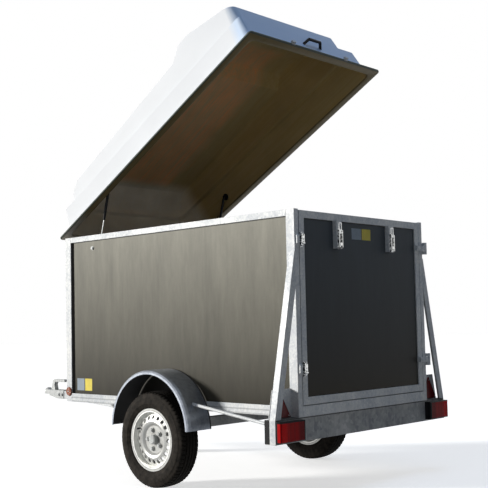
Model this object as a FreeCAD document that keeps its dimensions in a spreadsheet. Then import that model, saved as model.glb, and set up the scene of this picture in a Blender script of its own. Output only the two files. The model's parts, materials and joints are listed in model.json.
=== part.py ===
import FreeCAD, Part
import math
import os
import re

import Sketcher
from FreeCAD import Placement, Rotation, Vector

# Box trailer with a front-hinged moulded lid and a side-hinged rear door.
# Millimetres, +X to the coupling, +Y to the left, +Z up, ground at z = 0.
# The origin is under the middle of the whole trailer.

os.makedirs("parts", exist_ok=True)

# Driving dimensions: cell name, value, what it is.
SIZES = (
    ("body_length", 2045, "outside length of the box"),
    ("body_width", 1200, "outside width of the box"),
    ("body_top", 1535, "height of the top rails above the ground"),
    ("frame_bottom", 445, "height of the underside of the bottom rails"),
    ("bottom_rail_height", 55, "height of the bottom rails"),
    ("bottom_rail_width", 40, "width of the bottom rails"),
    ("frame_sheet", 4, "sheet of the folded frame channels"),
    ("top_rail_height", 35, "height of the top rails"),
    ("top_rail_width", 25, "width of the top rails"),
    ("post_length", 60, "corner post, along the trailer"),
    ("post_width", 34, "corner post, across the trailer"),
    ("post_corner", 3, "radius of the corner post's edges"),
    ("panel_thickness", 9, "thickness of the plywood walls"),
    ("panel_recess", 6, "plywood set back from the frame's face"),
    ("floor_thickness", 12, "thickness of the plywood floor"),
    ("floor_beam_width", 40, "width of a floor cross beam"),
    ("floor_beam_place", 420, "cross beams either side of the middle one"),
    ("door_gap", 5, "running gap round the rear door"),
    ("door_tube_width", 40, "width of the door's frame tube"),
    ("door_tube_depth", 30, "depth of the door's frame tube"),
    ("door_panel_recess", 8, "door plywood set in from the rear face"),
    ("door_axis_back", 14, "door hinge axis behind the rear face"),
    ("door_axis_out", 15, "door hinge axis outside the body side"),
    ("fitting_drop", 162, "upper door hinge and latch below the body top"),
    ("fitting_rise", 194, "lower door hinge and latch above the sill"),
    ("hinge_knuckle_radius", 8, "outside radius of a door hinge knuckle"),
    ("hinge_knuckle_height", 30, "height of one door hinge knuckle"),
    ("hinge_plate", 8, "thickness of the hinge plates"),
    ("hinge_play", 1, "axial play between knuckles"),
    ("hinge_ear", 20, "height of a fixed hinge knuckle"),
    ("hinge_tail", 40, "hinge plate's reach along the body side"),
    ("pin_radius", 4, "radius of the hinge pins"),
    ("latch_height", 80, "height of a door latch"),
    ("latch_width", 24, "width of a door latch"),
    ("latch_depth", 16, "depth of a door latch"),
    ("latch_plate", 4, "thickness of a door latch's plate"),
    ("catch_place", 246, "lid catches either side of the middle"),
    ("catch_width", 46, "width of a lid catch"),
    ("catch_height", 154, "height of a lid catch"),
    ("catch_depth", 20, "lid catch behind the rear face"),
    ("catch_sheet", 3, "sheet of a lid catch"),
    ("toggle_width", 34, "width of a catch toggle"),
    ("toggle_height", 111, "height of a catch toggle"),
    ("toggle_depth", 10, "depth of a catch toggle"),
    ("keeper_width", 30, "width of a keeper hook on the lid"),
    ("keeper_depth", 16, "keeper hook behind the lid's rim"),
    ("keeper_height", 20, "height of a keeper hook"),
    ("wheel_place", 1000, "wheel centre ahead of the rear face"),
    ("wheel_gap", 20, "gap between the body side and the tyre"),
    ("tyre_radius", 278, "outside radius of the tyre"),
    ("tyre_width", 145, "section width of the tyre"),
    ("tyre_crown", 112, "width of the flat tread"),
    ("tyre_bulge", 222, "radius where the tyre is widest"),
    ("rim_radius", 180, "radius of the rim lips"),
    ("rim_width", 122, "width over the rim lips"),
    ("rim_wall", 4, "thickness of the rim and disc"),
    ("bead_depth", 16, "bead seats inside the rim lips"),
    ("well_depth", 30, "rim's well inside the rim lips"),
    ("well_half", 9, "half width of the rim's well"),
    ("disc_edge", 24, "disc meets the rim outside the wheel plane"),
    ("disc_crown", 50, "disc's crown outside the wheel plane"),
    ("crown_radius", 105, "radius of the disc's crown"),
    ("disc_offset", 30, "disc's mounting face outside the wheel plane"),
    ("seat_radius", 80, "radius of the disc's mounting face"),
    ("vent_ring", 128, "radius of the ring of vent holes"),
    ("vent_radius", 12, "radius of a vent hole"),
    ("vent_count", 20, "number of vent holes"),
    ("hub_flange_radius", 72, "radius of the hub flange"),
    ("hub_flange", 12, "thickness of the hub flange"),
    ("hub_cap_rise", 30, "grease cap outside the mounting face"),
    ("hub_barrel_radius", 36, "radius of the hub barrel"),
    ("hub_cap_radius", 27, "radius of the grease cap"),
    ("hub_length", 70, "length of the hub barrel"),
    ("spindle_radius", 14, "radius of the stub axle"),
    ("spindle_fit", 0.05, "running fit of the stub axle"),
    ("axle_lead", 150, "axle beam ahead of the wheel centre"),
    ("axle_rise", 42, "axle beam above the wheel centre"),
    ("axle_tube", 60, "side of the square axle beam"),
    ("axle_half", 555, "half length of the axle beam"),
    ("arm_thickness", 22, "thickness of a trailing arm"),
    ("arm_radius", 44, "radius of a trailing arm's end on the axle beam"),
    ("arm_tip_radius", 26, "radius of a trailing arm's end at the wheel"),
    ("bracket_width", 60, "width of an axle bracket"),
    ("bracket_flange", 8, "thickness of an axle bracket's flange"),
    ("bracket_reach", 20, "axle bracket beyond the beam, each way"),
    ("mudguard_radius", 345, "radius of the mudguard's crown"),
    ("mudguard_rise", 57, "mudguard centre above the wheel centre"),
    ("mudguard_margin", 13, "mudguard's reach outside the tyre"),
    ("mudguard_lip", 24, "drop of the mudguard's outer edge"),
    ("mudguard_sheet", 2, "thickness of the mudguard sheet"),
    ("mudguard_sweep", 176, "angle covered by the mudguard, degrees"),
    ("stay_radius", 9, "radius of the mudguard stay"),
    ("stay_rear_in", 30, "stay's rear end in from the lamp bar's end"),
    ("stay_rear_drop", 35, "stay's rear end below the bottom frame"),
    ("stay_front_rise", 31, "stay's front end above the bottom frame's underside"),
    ("plate_margin", 15, "plate beside its triangular reflector, each side"),
    ("lamp_bar_height", 125, "height of the rear lamp bar"),
    ("lamp_bar_depth", 70, "depth of the rear lamp bar"),
    ("lamp_bar_sheet", 4, "thickness of the rear lamp bar"),
    ("lamp_bar_inset", 8, "rear lamp bar set in from the sill's face"),
    ("lamp_length", 195, "length of a rear lamp"),
    ("lamp_height", 105, "height of a rear lamp"),
    ("lamp_base", 18, "depth of the lamp's base"),
    ("lamp_lens", 24, "depth of the lamp's lens"),
    ("lamp_corner", 8, "radius of the lens's outer edges"),
    ("brace_leg", 40, "leg of the corner brace angle"),
    ("brace_sheet", 4, "thickness of the corner brace angle"),
    ("brace_top", 1312, "height of the corner brace's upper end"),
    ("reflector_plate_height", 149, "height of the reflector plate"),
    ("reflector_side", 150, "side of the triangular reflector"),
    ("reflector_depth", 8, "depth of a reflector"),
    ("reflector_lift", 3, "triangular reflector above the plate's lower edge"),
    ("marker_radius", 29, "radius of the round side reflector"),
    ("marker_rise", 11, "round side reflector's centre above the bottom rails"),
    ("drawbar_reach", 915, "drawbar nose ahead of the box"),
    ("drawbar_height", 60, "height of the drawbar arms"),
    ("drawbar_tube", 40, "width of the drawbar arms"),
    ("drawbar_spread", 500, "arm's rear end from the middle"),
    ("drawbar_tail", 1300, "arm's rear end ahead of the rear face"),
    ("nose_length", 180, "length of the drawbar's nose tube"),
    ("coupling_reach", 1095, "ball centre ahead of the box"),
    ("coupling_height", 432, "ball centre above the ground"),
    ("ball_radius", 25, "radius of the towing ball"),
    ("ball_play", 0.5, "clearance round the towing ball"),
    ("coupling_wall", 8, "wall of the coupling head"),
    ("coupling_sheet", 4, "wall of the coupling's sleeve"),
    ("sleeve_length", 80, "overlap of the sleeve on the nose"),
    ("nose_wall", 10, "front wall of the sleeve"),
    ("socket_lip", 16, "socket's mouth below the ball centre"),
    ("neck_half", 30, "half width of the coupling's neck at the head"),
    ("lever_place", 70, "coupling lever's foot ahead of the drawbar's nose"),
    ("lever_foot", 50, "length of the coupling lever's foot"),
    ("lever_reach", 120, "coupling lever behind its foot"),
    ("lever_rise", 82, "height of the coupling lever"),
    ("lever_grip", 20, "depth of the coupling lever's grip"),
    ("lever_width", 34, "width of the coupling lever"),
    ("lid_axis_ahead", 30, "lid hinge axis ahead of the box"),
    ("lid_axis_drop", 7, "lid hinge axis below the top rails"),
    ("lid_open_angle", 29, "lid angle with the struts extended, degrees"),
    ("lid_lift", 8, "lid rim above the top rails when shut"),
    ("lid_front", 22, "rim ahead of the hinge axis"),
    ("lid_reach", 2065, "rim behind the hinge axis"),
    ("lid_width", 1216, "width over the lid's rim"),
    ("lid_rim_thickness", 12, "thickness of the lid's rim"),
    ("lid_rim_corner", 24, "corner radius of the lid's rim"),
    ("lid_corner", 45, "corner radius of the lid's walls"),
    ("lid_wall", 4, "thickness of the lid's moulding"),
    ("lid_flange", 50, "width of the lid's rim flange"),
    ("lid_shoulder", 200, "height of the shoulder above the rim's underside"),
    ("lid_step", 28, "depth of the shoulder step"),
    ("lid_lean", 20, "lean of a lid wall over one band"),
    ("lid_rake", 140, "length of the roof's raked front"),
    ("roof_front", 340, "roof above the rim's underside at the front"),
    ("roof_middle", 385, "roof height before the raised rear part"),
    ("roof_crest", 460, "roof height at the crest"),
    ("roof_rear", 350, "roof height at the rear"),
    ("crest_foot", 580, "raised roof's foot ahead of the shoulder's rear"),
    ("crest_front", 500, "crest's front edge ahead of the shoulder's rear"),
    ("crest_rear", 400, "crest's rear edge ahead of the shoulder's rear"),
    ("leaf_place", 400, "lid hinges either side of the middle"),
    ("leaf_width", 40, "width of a lid hinge's moving leaf"),
    ("leaf_ear", 16, "width of a lid hinge's fixed ear"),
    ("leaf_sheet", 4, "thickness of a lid hinge's leaves"),
    ("lid_handle_length", 156, "lid handle between its feet"),
    ("lid_handle_shift", 62, "lid handle to the right of the middle"),
    ("lid_handle_rise", 125, "handle's feet above the rim's underside"),
    ("lid_handle_lift", 15, "grip above the handle's feet"),
    ("lid_handle_out", 20, "grip behind the foot of the lid's rear wall"),
    ("lid_handle_taper", 26, "grip's ends in from the handle's feet"),
    ("lid_handle_radius", 9, "radius of the handle's bar"),
    ("strut_pad", 14, "face of a strut's pad inside the lid's wall at the rim"),
    ("strut_foot_place", 280, "strut's lower pin behind the box's front"),
    ("strut_foot_drop", 85, "strut's lower pin below the body top"),
    ("strut_head_place", 537, "strut's upper pin behind the lid axis"),
    ("strut_head_rise", 94, "strut's upper pin above the lid axis"),
    ("strut_body_radius", 9, "radius of the strut's cylinder"),
    ("strut_body_length", 244, "length of the strut's cylinder with its eye"),
    ("strut_rod_radius", 4, "radius of the strut's rod"),
    ("strut_bore_fit", 0.1, "running fit of the rod in its cylinder"),
    ("eye_radius", 9, "radius of a strut eye"),
    ("eye_width", 10, "width of a strut eye"),
    ("strut_pin_radius", 4, "radius of a strut pin"),
    ("strut_pin_fit", 0.05, "running fit of a strut pin"),
    ("strut_side_gap", 5, "gap between a strut and its brackets"),
    ("strut_tab", 50, "side of a strut bracket on the lid"),
    ("strut_neck", 15, "strut's eye centre to its tube"),
    ("strut_crimp", 1.5, "depth of the crimp round the strut's tube"),
    ("strut_cap", 6, "thickness of the strut tube's closed end"),
    ("strut_overlap", 30, "rod inside its tube at full length"),
    ("foot_plate_length", 80, "length of a strut's foot plate"),
    ("foot_plate_height", 36, "height of a strut's foot plate"),
    ("foot_plate_sheet", 5, "thickness of a strut's foot plate"),
    ("foot_stud_radius", 6, "radius of a strut's foot stud"),
    ("pin_end", 2, "pin standing out of a strut eye"),
    ("foot_gap", 0.5, "gap between the rod's eye and its stud"),
    ("jockey_place", 170, "jockey wheel ahead of the box"),
    ("jockey_tube_radius", 24, "radius of the jockey wheel's outer tube"),
    ("jockey_leg_radius", 20, "radius of the jockey wheel's inner tube"),
    ("jockey_fit", 0.1, "running fit of the inner tube"),
    ("jockey_tube_bottom", 386, "lower end of the outer tube"),
    ("jockey_tube_top", 860, "upper end of the outer tube"),
    ("jockey_leg_bottom", 226, "lower end of the inner tube"),
    ("jockey_leg_top", 560, "upper end of the inner tube"),
    ("jockey_wheel_radius", 100, "radius of the jockey wheel"),
    ("jockey_wheel_width", 50, "width of the jockey wheel"),
    ("jockey_trail", 40, "castor trail of the jockey wheel"),
    ("jockey_hub_radius", 22, "radius of the jockey wheel's hub"),
    ("jockey_rim_radius", 66, "radius of the jockey wheel's rim"),
    ("jockey_dish", 9, "depth of the dish in the jockey wheel"),
    ("jockey_pin_radius", 6, "radius of the jockey wheel's pin"),
    ("crank_rise", 34, "jockey crank above its tube"),
    ("crank_reach", 110, "reach of the jockey crank"),
    ("crank_radius", 6, "radius of the jockey crank"),
    ("knob_radius", 10, "radius of the jockey crank's knob"),
    ("knob_length", 78, "length of the jockey crank's knob"),
    ("fork_crown", 8, "thickness of the fork's crown"),
    ("fork_tip_radius", 18, "radius of the fork's lower ends"),
    ("fork_sheet", 5, "thickness of the jockey wheel's fork"),
    ("fork_gap", 5, "side gap between fork and jockey wheel"),
    ("seat_gap", 0.3, "gap between the fork and the leg it swivels on"),
    ("clamp_height", 50, "height of the jockey wheel's clamp"),
    ("clamp_wall", 6, "wall of the jockey wheel's clamp"),
    ("clamp_back", 12, "jockey tube beside the drawbar arm"),
)

# Places worked out from the driving dimensions: cell name, formula.
PLACES = (
    ("reach_ahead", "body_length + coupling_reach + ball_radius + ball_play + coupling_wall"),
    ("reach_behind", "lamp_base + lamp_lens - lamp_bar_inset"),
    ("rear", "-(reach_ahead - reach_behind) / 2"),
    ("front", "rear + body_length"),
    ("half_width", "body_width / 2"),
    ("post_inside", "half_width - post_width"),
    ("floor_half", "half_width - bottom_rail_width"),
    ("sill_top", "frame_bottom + bottom_rail_height"),
    ("rail_under", "body_top - top_rail_height"),
    ("panel_outside", "half_width - panel_recess"),
    ("panel_inside", "panel_outside - panel_thickness"),
    ("door_half", "post_inside - door_gap"),
    ("door_bottom", "sill_top + door_gap"),
    ("door_top", "body_top - door_gap"),
    ("wheel_x", "rear + wheel_place"),
    ("wheel_y", "half_width + wheel_gap + tyre_width / 2"),
    ("mudguard_width", "wheel_gap + tyre_width + mudguard_margin"),
    ("axle_x", "wheel_x + axle_lead"),
    ("axle_z", "tyre_radius + axle_rise"),
    ("mudguard_z", "tyre_radius + mudguard_rise"),
    ("bar_bottom", "frame_bottom - lamp_bar_height"),
    ("bar_face", "rear + lamp_bar_inset"),
    ("lamp_bar_half", "half_width + reflector_side + 2 * plate_margin"),
    ("fitting_high", "body_top - fitting_drop"),
    ("fitting_low", "sill_top + fitting_rise"),
    ("lid_x", "front + lid_axis_ahead"),
    ("lid_z", "body_top - lid_axis_drop"),
    ("ball_x", "front + coupling_reach"),
    ("nose_x", "front + drawbar_reach"),
    ("cup_radius", "ball_radius + ball_play + coupling_wall"),
    ("drawbar_bottom", "frame_bottom - drawbar_height"),
    ("neck_top", "frame_bottom + coupling_sheet"),
    ("jockey_x", "front + jockey_place"),
    ("pad_face", "lid_width / 2 - lid_flange - lid_wall - strut_pad"),
    ("strut_plane", "min(panel_inside, pad_face) - strut_side_gap - strut_body_radius"),
)

doc = FreeCAD.newDocument("box_trailer")
sizes = doc.addObject("Spreadsheet::Sheet", "Sizes")
places = doc.addObject("Spreadsheet::Sheet", "Places")
SIZE_NAMES = {row[0] for row in SIZES}
PLACE_NAMES = {row[0] for row in PLACES}


def bound(text):
    """The formula with each cell name led by its sheet's name."""
    def owner(match):
        word = match.group(0)
        if word in SIZE_NAMES:
            return "Sizes." + word
        if word in PLACE_NAMES:
            return "Places." + word
        return word
    return re.sub(r"[A-Za-z_]\w*", owner, str(text))


for row, (alias, value, note) in enumerate(SIZES, start=1):
    sizes.set(f"A{row}", note)
    sizes.set(f"B{row}", str(value))
    sizes.setAlias(f"B{row}", alias)
doc.recompute()
for row, (alias, formula) in enumerate(PLACES, start=1):
    places.set(f"A{row}", alias.replace("_", " "))
    places.set(f"B{row}", "=" + bound(formula))
    places.setAlias(f"B{row}", alias)
    doc.recompute()


def at(alias):
    """The number in a named cell."""
    owner = sizes if alias in SIZE_NAMES else places
    return float(owner.get(alias))


finished = []


def finish(piece, label):
    """Names a finished sub-part, which then becomes a file."""
    piece.Label = label
    finished.append(piece)
    return piece


def moved(piece, corner):
    """Ties a piece's place to three formulas."""
    for axis, text in zip("xyz", corner):
        piece.setExpression(f"Placement.Base.{axis}", bound(text))
    return piece


def block(name, size, corner):
    """A rectangular bar: three side formulas and its low corner."""
    piece = doc.addObject("Part::Box", name)
    for side, text in zip(("Length", "Width", "Height"), size):
        piece.setExpression(side, bound(text))
    return moved(piece, corner)


DIRECTIONS = {
    "X": Rotation(Vector(0, 1, 0), 90),
    "Y": Rotation(Vector(1, 0, 0), -90),
    "Z": Rotation(),
}


def rod(name, radius, length, start, axis="Z"):
    """A round bar from its start along an axis."""
    piece = doc.addObject("Part::Cylinder", name)
    piece.Placement = Placement(Vector(), DIRECTIONS[axis])
    piece.setExpression("Radius", bound(radius))
    piece.setExpression("Height", bound(length))
    return moved(piece, start)


def ball(name, radius, centre):
    piece = doc.addObject("Part::Sphere", name)
    piece.setExpression("Radius", bound(radius))
    return moved(piece, centre)


def softened(name, base, radius, chosen):
    """A copy of a piece with the chosen edges rounded."""
    doc.recompute()
    piece = doc.addObject("Part::Fillet", name)
    piece.Base = base
    size = at(radius)
    piece.Edges = [
        (number, size, size) for number, edge in enumerate(base.Shape.Edges, start=1) if chosen(edge)]
    return piece


def joined(name, *pieces):
    piece = doc.addObject("Part::MultiFuse", name)
    piece.Shapes = list(pieces)
    return piece


def shared(name, *pieces):
    piece = doc.addObject("Part::MultiCommon", name)
    piece.Shapes = list(pieces)
    return piece


def cut(name, base, *tools):
    piece = doc.addObject("Part::Cut", name)
    piece.Base = base
    piece.Tool = tools[0] if len(tools) == 1 else joined(name + "_tools", *tools)
    return piece


def group(name, *pieces):
    """Like pieces that don't touch, kept as one sub-part."""
    piece = doc.addObject("Part::Compound", name)
    piece.Links = list(pieces)
    return piece


def mirrored(name, source):
    """The right-hand copy of a left-hand piece."""
    piece = doc.addObject("Part::Mirroring", name)
    piece.Source = source
    piece.Normal = Vector(0, 1, 0)
    return piece


def both_sides(name, source):
    return group(name, source, mirrored(name + "_right", source))


def plane_of(body, role):
    return [item for item in body.Origin.OriginFeatures if item.Role == role][0]


def outline(body, name, role, points):
    """A closed polygon sketch whose corners are tied to formulas."""
    sketch = body.newObject("Sketcher::SketchObject", name)
    sketch.AttachmentSupport = [(plane_of(body, role), "")]
    sketch.MapMode = "FlatFace"
    texts = [(bound(across), bound(up)) for across, up in points]
    probe = doc.addObject("Spreadsheet::Sheet", name + "_probe")
    for index, pair in enumerate(texts, start=1):
        for column, text in zip("AB", pair):
            probe.set(f"{column}{index}", "=" + text)
    doc.recompute()
    places_now = []
    for index in range(1, len(texts) + 1):
        places_now.append(Vector(float(probe.get(f"A{index}")), float(probe.get(f"B{index}")), 0))
    doc.removeObject(probe.Name)
    count = len(texts)
    for index in range(count):
        sketch.addGeometry(Part.LineSegment(places_now[index], places_now[(index + 1) % count]), False)
    for index in range(count):
        sketch.addConstraint(Sketcher.Constraint("Coincident", index, 2, (index + 1) % count, 1))
    for index, pair in enumerate(texts):
        for kind, text, value in zip(("DistanceX", "DistanceY"), pair, places_now[index]):
            number = sketch.addConstraint(Sketcher.Constraint(kind, -1, 1, index, 1, value))
            sketch.setExpression(f"Constraints[{number}]", text)
    return sketch


def driven(sketch, cell, kind, *where):
    """A sketch dimension tied to a named cell."""
    number = sketch.addConstraint(Sketcher.Constraint(kind, *where, at(cell)))
    sketch.setExpression(f"Constraints[{number}]", bound(cell))


def padded(name, role, points, length, place=("0", "0", "0")):
    """A body padded both ways from an origin plane."""
    body = doc.addObject("PartDesign::Body", name)
    sketch = outline(body, name + "_outline", role, points)
    pad = body.newObject("PartDesign::Pad", name + "_pad")
    pad.Profile = sketch
    pad.SideType = "Symmetric"
    pad.setExpression("Length", bound(length))
    return moved(body, place)


def turned(name, points, place, sweep="360"):
    """A body turned about a line along Y; points are (y, radius)."""
    body = doc.addObject("PartDesign::Body", name)
    sketch = outline(body, name + "_outline", "YZ_Plane", points)
    turn = body.newObject("PartDesign::Revolution", name + "_turn")
    turn.Profile = sketch
    turn.ReferenceAxis = (sketch, ["H_Axis"])
    turn.Midplane = True
    turn.setExpression("Angle", bound(sweep))
    return moved(body, place)


# Bottom frame: folded side and cross channels between the corner posts.
def channel_points(depth, height, sheet, side=""):
    """A channel's section, web on the zero line; side "-" opens it the other way."""
    tip = f"{side}({depth})"
    inside = f"{side}({sheet})"
    return (
        ("0", "0"), (tip, "0"), (tip, sheet), (inside, sheet), (inside, f"{height} - {sheet}"),
        (tip, f"{height} - {sheet}"), (tip, height), ("0", height))


side_rail = padded(
    "side_rail", "YZ_Plane",
    channel_points("bottom_rail_width", "bottom_rail_height", "frame_sheet", "-"),
    "body_length - 2 * post_length", ("rear + body_length / 2", "half_width", "frame_bottom"))
cross_rails = [
    padded(name, "XZ_Plane", channel_points("bottom_rail_width", "bottom_rail_height", "frame_sheet", side),
           "2 * post_inside", (place, "0", "frame_bottom"))
    for name, side, place in (("rear_sill", "", "rear"), ("front_sill", "-", "front"))
]
finish(group("bottom_frame", side_rail, mirrored("side_rail_right", side_rail), *cross_rails), "bottom_rails")

beams = []
for index, shift in enumerate(("-floor_beam_place", "0", "floor_beam_place")):
    beams.append(padded(
        f"floor_beam_{index}", "XZ_Plane",
        channel_points("floor_beam_width", "bottom_rail_height - floor_thickness", "frame_sheet"),
        "2 * floor_half",
        (f"rear + body_length / 2 + {shift} - floor_beam_width / 2", "0", "frame_bottom")))
finish(group("floor_beams_all", *beams), "floor_beams")

finish(block(
    "floor_board",
    ("body_length - 2 * bottom_rail_width", "2 * floor_half", "floor_thickness"),
    ("rear + bottom_rail_width", "-floor_half", "sill_top - floor_thickness")), "floor")

# Corner posts and top rails; the rear has no top rail, the door closes it.
posts = []
for name, place in (("rear_post", "rear"), ("front_post", "front - post_length")):
    bar = block(name + "_bar", ("post_length", "post_width", "body_top - frame_bottom"),
                (place, "post_inside", "frame_bottom"))
    post = softened(name, bar, "post_corner", lambda edge: edge.BoundBox.ZLength > at("body_top") / 2)
    posts += [post, mirrored(name + "_right", post)]
finish(group("posts", *posts), "corner_posts")

top_rail = block(
    "top_rail", ("body_length - 2 * post_length", "top_rail_width", "top_rail_height"),
    ("rear + post_length", "half_width - top_rail_width", "rail_under"))
front_rail = block(
    "front_top_rail", ("top_rail_width", "2 * post_inside", "top_rail_height"),
    ("front - top_rail_width", "-post_inside", "rail_under"))
finish(group("rails", top_rail, mirrored("top_rail_right", top_rail), front_rail), "top_rails")

# Plywood walls, let in between rails and posts.
for side, low in (("left", "panel_inside"), ("right", "-panel_outside")):
    finish(block(
        f"wall_{side}",
        ("body_length - 2 * post_length", "panel_thickness", "rail_under - sill_top"),
        ("rear + post_length", low, "sill_top")), f"side_panel_{side}")
finish(block(
    "wall_front", ("panel_thickness", "2 * post_inside", "rail_under - sill_top"),
    ("front - panel_recess - panel_thickness", "-post_inside", "sill_top")), "front_panel")

# Drawbar: two arms that meet at a nose tube, under the bottom frame.
run_x = at("body_length") + at("drawbar_reach") - at("nose_length") - at("drawbar_tail")
run_y = at("drawbar_spread") - at("drawbar_tube") / 2
arm_slope = math.hypot(run_x, run_y) / run_x
side_step = at("drawbar_tube") / 2 * arm_slope
arm = doc.addObject("Part::Feature", "drawbar_arm")
arm_rear = at("rear") + at("drawbar_tail")
arm_front = at("nose_x") - at("nose_length")
arm_spread = at("drawbar_spread")
nose_half = at("drawbar_tube") / 2
arm_corners = [
    (arm_rear, arm_spread - side_step), (arm_front, nose_half - side_step),
    (arm_front, nose_half + side_step), (arm_rear, arm_spread + side_step)]
arm_wire = Part.makePolygon([Vector(x, y, 0) for x, y in arm_corners + arm_corners[:1]])
arm.Shape = Part.Face(arm_wire).extrude(Vector(0, 0, at("drawbar_height")))
arm.Placement = Placement(Vector(0, 0, at("drawbar_bottom")), Rotation())
nose = block(
    "drawbar_nose", ("nose_length + drawbar_tube", "2 * drawbar_tube", "drawbar_height"),
    ("nose_x - nose_length - drawbar_tube", "-drawbar_tube", "drawbar_bottom"))
finish(joined("drawbar_frame", arm, mirrored("drawbar_arm_right", arm), nose), "drawbar")


# Coupling: a sleeve over the nose and a tapered head with a ball socket open below.
sleeve = cut(
    "coupling_sleeve",
    block("sleeve_outside",
          ("sleeve_length + nose_wall", "2 * drawbar_tube + 2 * coupling_sheet",
           "drawbar_height + coupling_sheet"),
          ("nose_x - sleeve_length", "-drawbar_tube - coupling_sheet", "drawbar_bottom")),
    block("sleeve_inside", ("nose_length", "2 * drawbar_tube", "drawbar_height"),
          ("nose_x - nose_length", "-drawbar_tube", "drawbar_bottom")))
neck_run = "(coupling_reach - drawbar_reach)"
sleeve_half = "(drawbar_tube + coupling_sheet)"
neck_plan = padded(
    "neck_plan", "XY_Plane",
    (("0", f"-{sleeve_half}"), (neck_run, "-neck_half"), (neck_run, "neck_half"), ("0", sleeve_half)),
    "4 * drawbar_height", ("nose_x", "0", "drawbar_bottom"))
neck_side = padded(
    "neck_side", "XZ_Plane",
    (("0", "drawbar_bottom"), (neck_run, "coupling_height - socket_lip"), (neck_run, "neck_top"),
     ("0", "neck_top")),
    f"4 * {sleeve_half}", ("nose_x", "0", "0"))
neck = shared("coupling_neck", neck_plan, neck_side)
cup = rod("coupling_cup", "cup_radius", "socket_lip", ("ball_x", "0", "coupling_height - socket_lip"))
dome = ball("coupling_dome", "cup_radius", ("ball_x", "0", "coupling_height"))
below_mouth = rod("below_mouth", "2 * cup_radius", "2 * cup_radius",
                  ("ball_x", "0", "coupling_height - socket_lip - 2 * cup_radius"))
socket_ball = ball("socket_ball", "ball_radius + ball_play", ("ball_x", "0", "coupling_height"))
socket_mouth = rod("socket_mouth", "ball_radius + ball_play", "ball_radius + socket_lip",
                   ("ball_x", "0", "coupling_height - ball_radius - socket_lip"))
finish(cut("coupling_body", joined("coupling_outside", sleeve, neck, cup, dome),
           below_mouth, socket_ball, socket_mouth), "coupling_head")
finish(padded(
    "coupling_handle", "XZ_Plane",
    (("0", "0"), ("lever_foot", "0"), ("lever_foot", "lever_grip / 2"),
     ("lever_foot * 0.6", "lever_rise - lever_grip / 2"), ("lever_foot * 0.3", "lever_rise"),
     ("-lever_reach", "lever_rise"), ("-lever_reach - lever_grip / 2", "lever_rise - lever_grip / 2"),
     ("-lever_reach", "lever_rise - lever_grip"), ("0", "lever_rise - lever_grip"),
     ("lever_grip / 2", "lever_rise - 2 * lever_grip")),
    "lever_width", ("nose_x + lever_place", "0", "neck_top")), "coupling_lever")


# Axle: a square beam on brackets, trailing arms outside it and stub axles.
def link_plate(big_end, big_radius, small_end, small_radius, thickness):
    """An upright plate with two round ends and edges tangent to both."""
    along = small_end - big_end
    lean = math.degrees(math.acos((big_radius - small_radius) / along.Length))
    along.normalize()
    rims = []
    for turn in (lean, -lean):
        side = Rotation(Vector(0, 1, 0), turn).multVec(along)
        rims.append((big_end + side * big_radius, small_end + side * small_radius))
    upper, lower = rims
    edges = [
        Part.LineSegment(upper[0], upper[1]),
        Part.Arc(upper[1], small_end + along * small_radius, lower[1]),
        Part.LineSegment(lower[1], lower[0]),
        Part.Arc(lower[0], big_end - along * big_radius, upper[0])]
    face = Part.Face(Part.Wire([edge.toShape() for edge in edges]))
    return face.extrude(Vector(0, thickness, 0))


beam = block(
    "axle_tube_beam", ("axle_tube", "2 * axle_half", "axle_tube"),
    ("axle_x - axle_tube / 2", "-axle_half", "axle_z - axle_tube / 2"))
bracket_height = "(frame_bottom - axle_z - axle_tube / 2)"
bracket_inside = "axle_half - bracket_width"
hanger = padded(
    "axle_hanger", "YZ_Plane",
    ((bracket_inside, "0"), ("axle_half", "0"), ("axle_half", bracket_height + " - bracket_flange"),
     ("half_width", bracket_height + " - bracket_flange"), ("half_width", bracket_height),
     (bracket_inside, bracket_height)),
    "axle_tube + 2 * bracket_reach", ("axle_x", "0", "axle_z + axle_tube / 2"))
finish(joined("axle", beam, hanger, mirrored("axle_hanger_right", hanger)), "axle_beam")

arm_plate = doc.addObject("Part::Feature", "trailing_arm_plate")
arm_plate.Shape = link_plate(
    Vector(at("axle_x"), 0, at("axle_z")), at("arm_radius"),
    Vector(at("wheel_x"), 0, at("tyre_radius")), at("arm_tip_radius"), at("arm_thickness"))
arm_plate.Placement = Placement(Vector(0, at("axle_half"), 0), Rotation())
stub = rod("stub_axle", "spindle_radius", "wheel_y + disc_offset - axle_half - arm_thickness",
           ("wheel_x", "axle_half + arm_thickness", "tyre_radius"), "Y")
finish(both_sides("arms", joined("trailing_arm", arm_plate, stub)), "trailing_arms")

# Mudguards: half-round sheet with a rolled outer edge.
guard_points = [
    ("0", "mudguard_radius"), ("mudguard_width - mudguard_lip", "mudguard_radius"),
    ("mudguard_width - mudguard_lip * 0.3", "mudguard_radius - mudguard_lip * 0.16"),
    ("mudguard_width", "mudguard_radius - mudguard_lip * 0.5"),
    ("mudguard_width", "mudguard_radius - mudguard_lip")]
inner_points = [
    ("mudguard_width - mudguard_sheet", "mudguard_radius - mudguard_lip"),
    ("mudguard_width - mudguard_sheet", "mudguard_radius - mudguard_lip * 0.5 - mudguard_sheet / 3"),
    ("mudguard_width - mudguard_lip * 0.3 - mudguard_sheet / 2",
     "mudguard_radius - mudguard_lip * 0.16 - mudguard_sheet * 0.9"),
    ("mudguard_width - mudguard_lip", "mudguard_radius - mudguard_sheet"),
    ("0", "mudguard_radius - mudguard_sheet")]
guard = turned("mudguard_sheet_left", guard_points + inner_points, ("wheel_x", "half_width", "mudguard_z"),
               "mudguard_sweep")
finish(both_sides("guards", guard), "mudguards")

# Rear lamp bar: a channel open to the front, under the rear sill.
finish(padded(
    "lamp_channel", "XZ_Plane", channel_points("lamp_bar_depth", "lamp_bar_height", "lamp_bar_sheet"),
    "2 * lamp_bar_half", ("bar_face", "0", "bar_bottom")), "lamp_bar")

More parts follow.
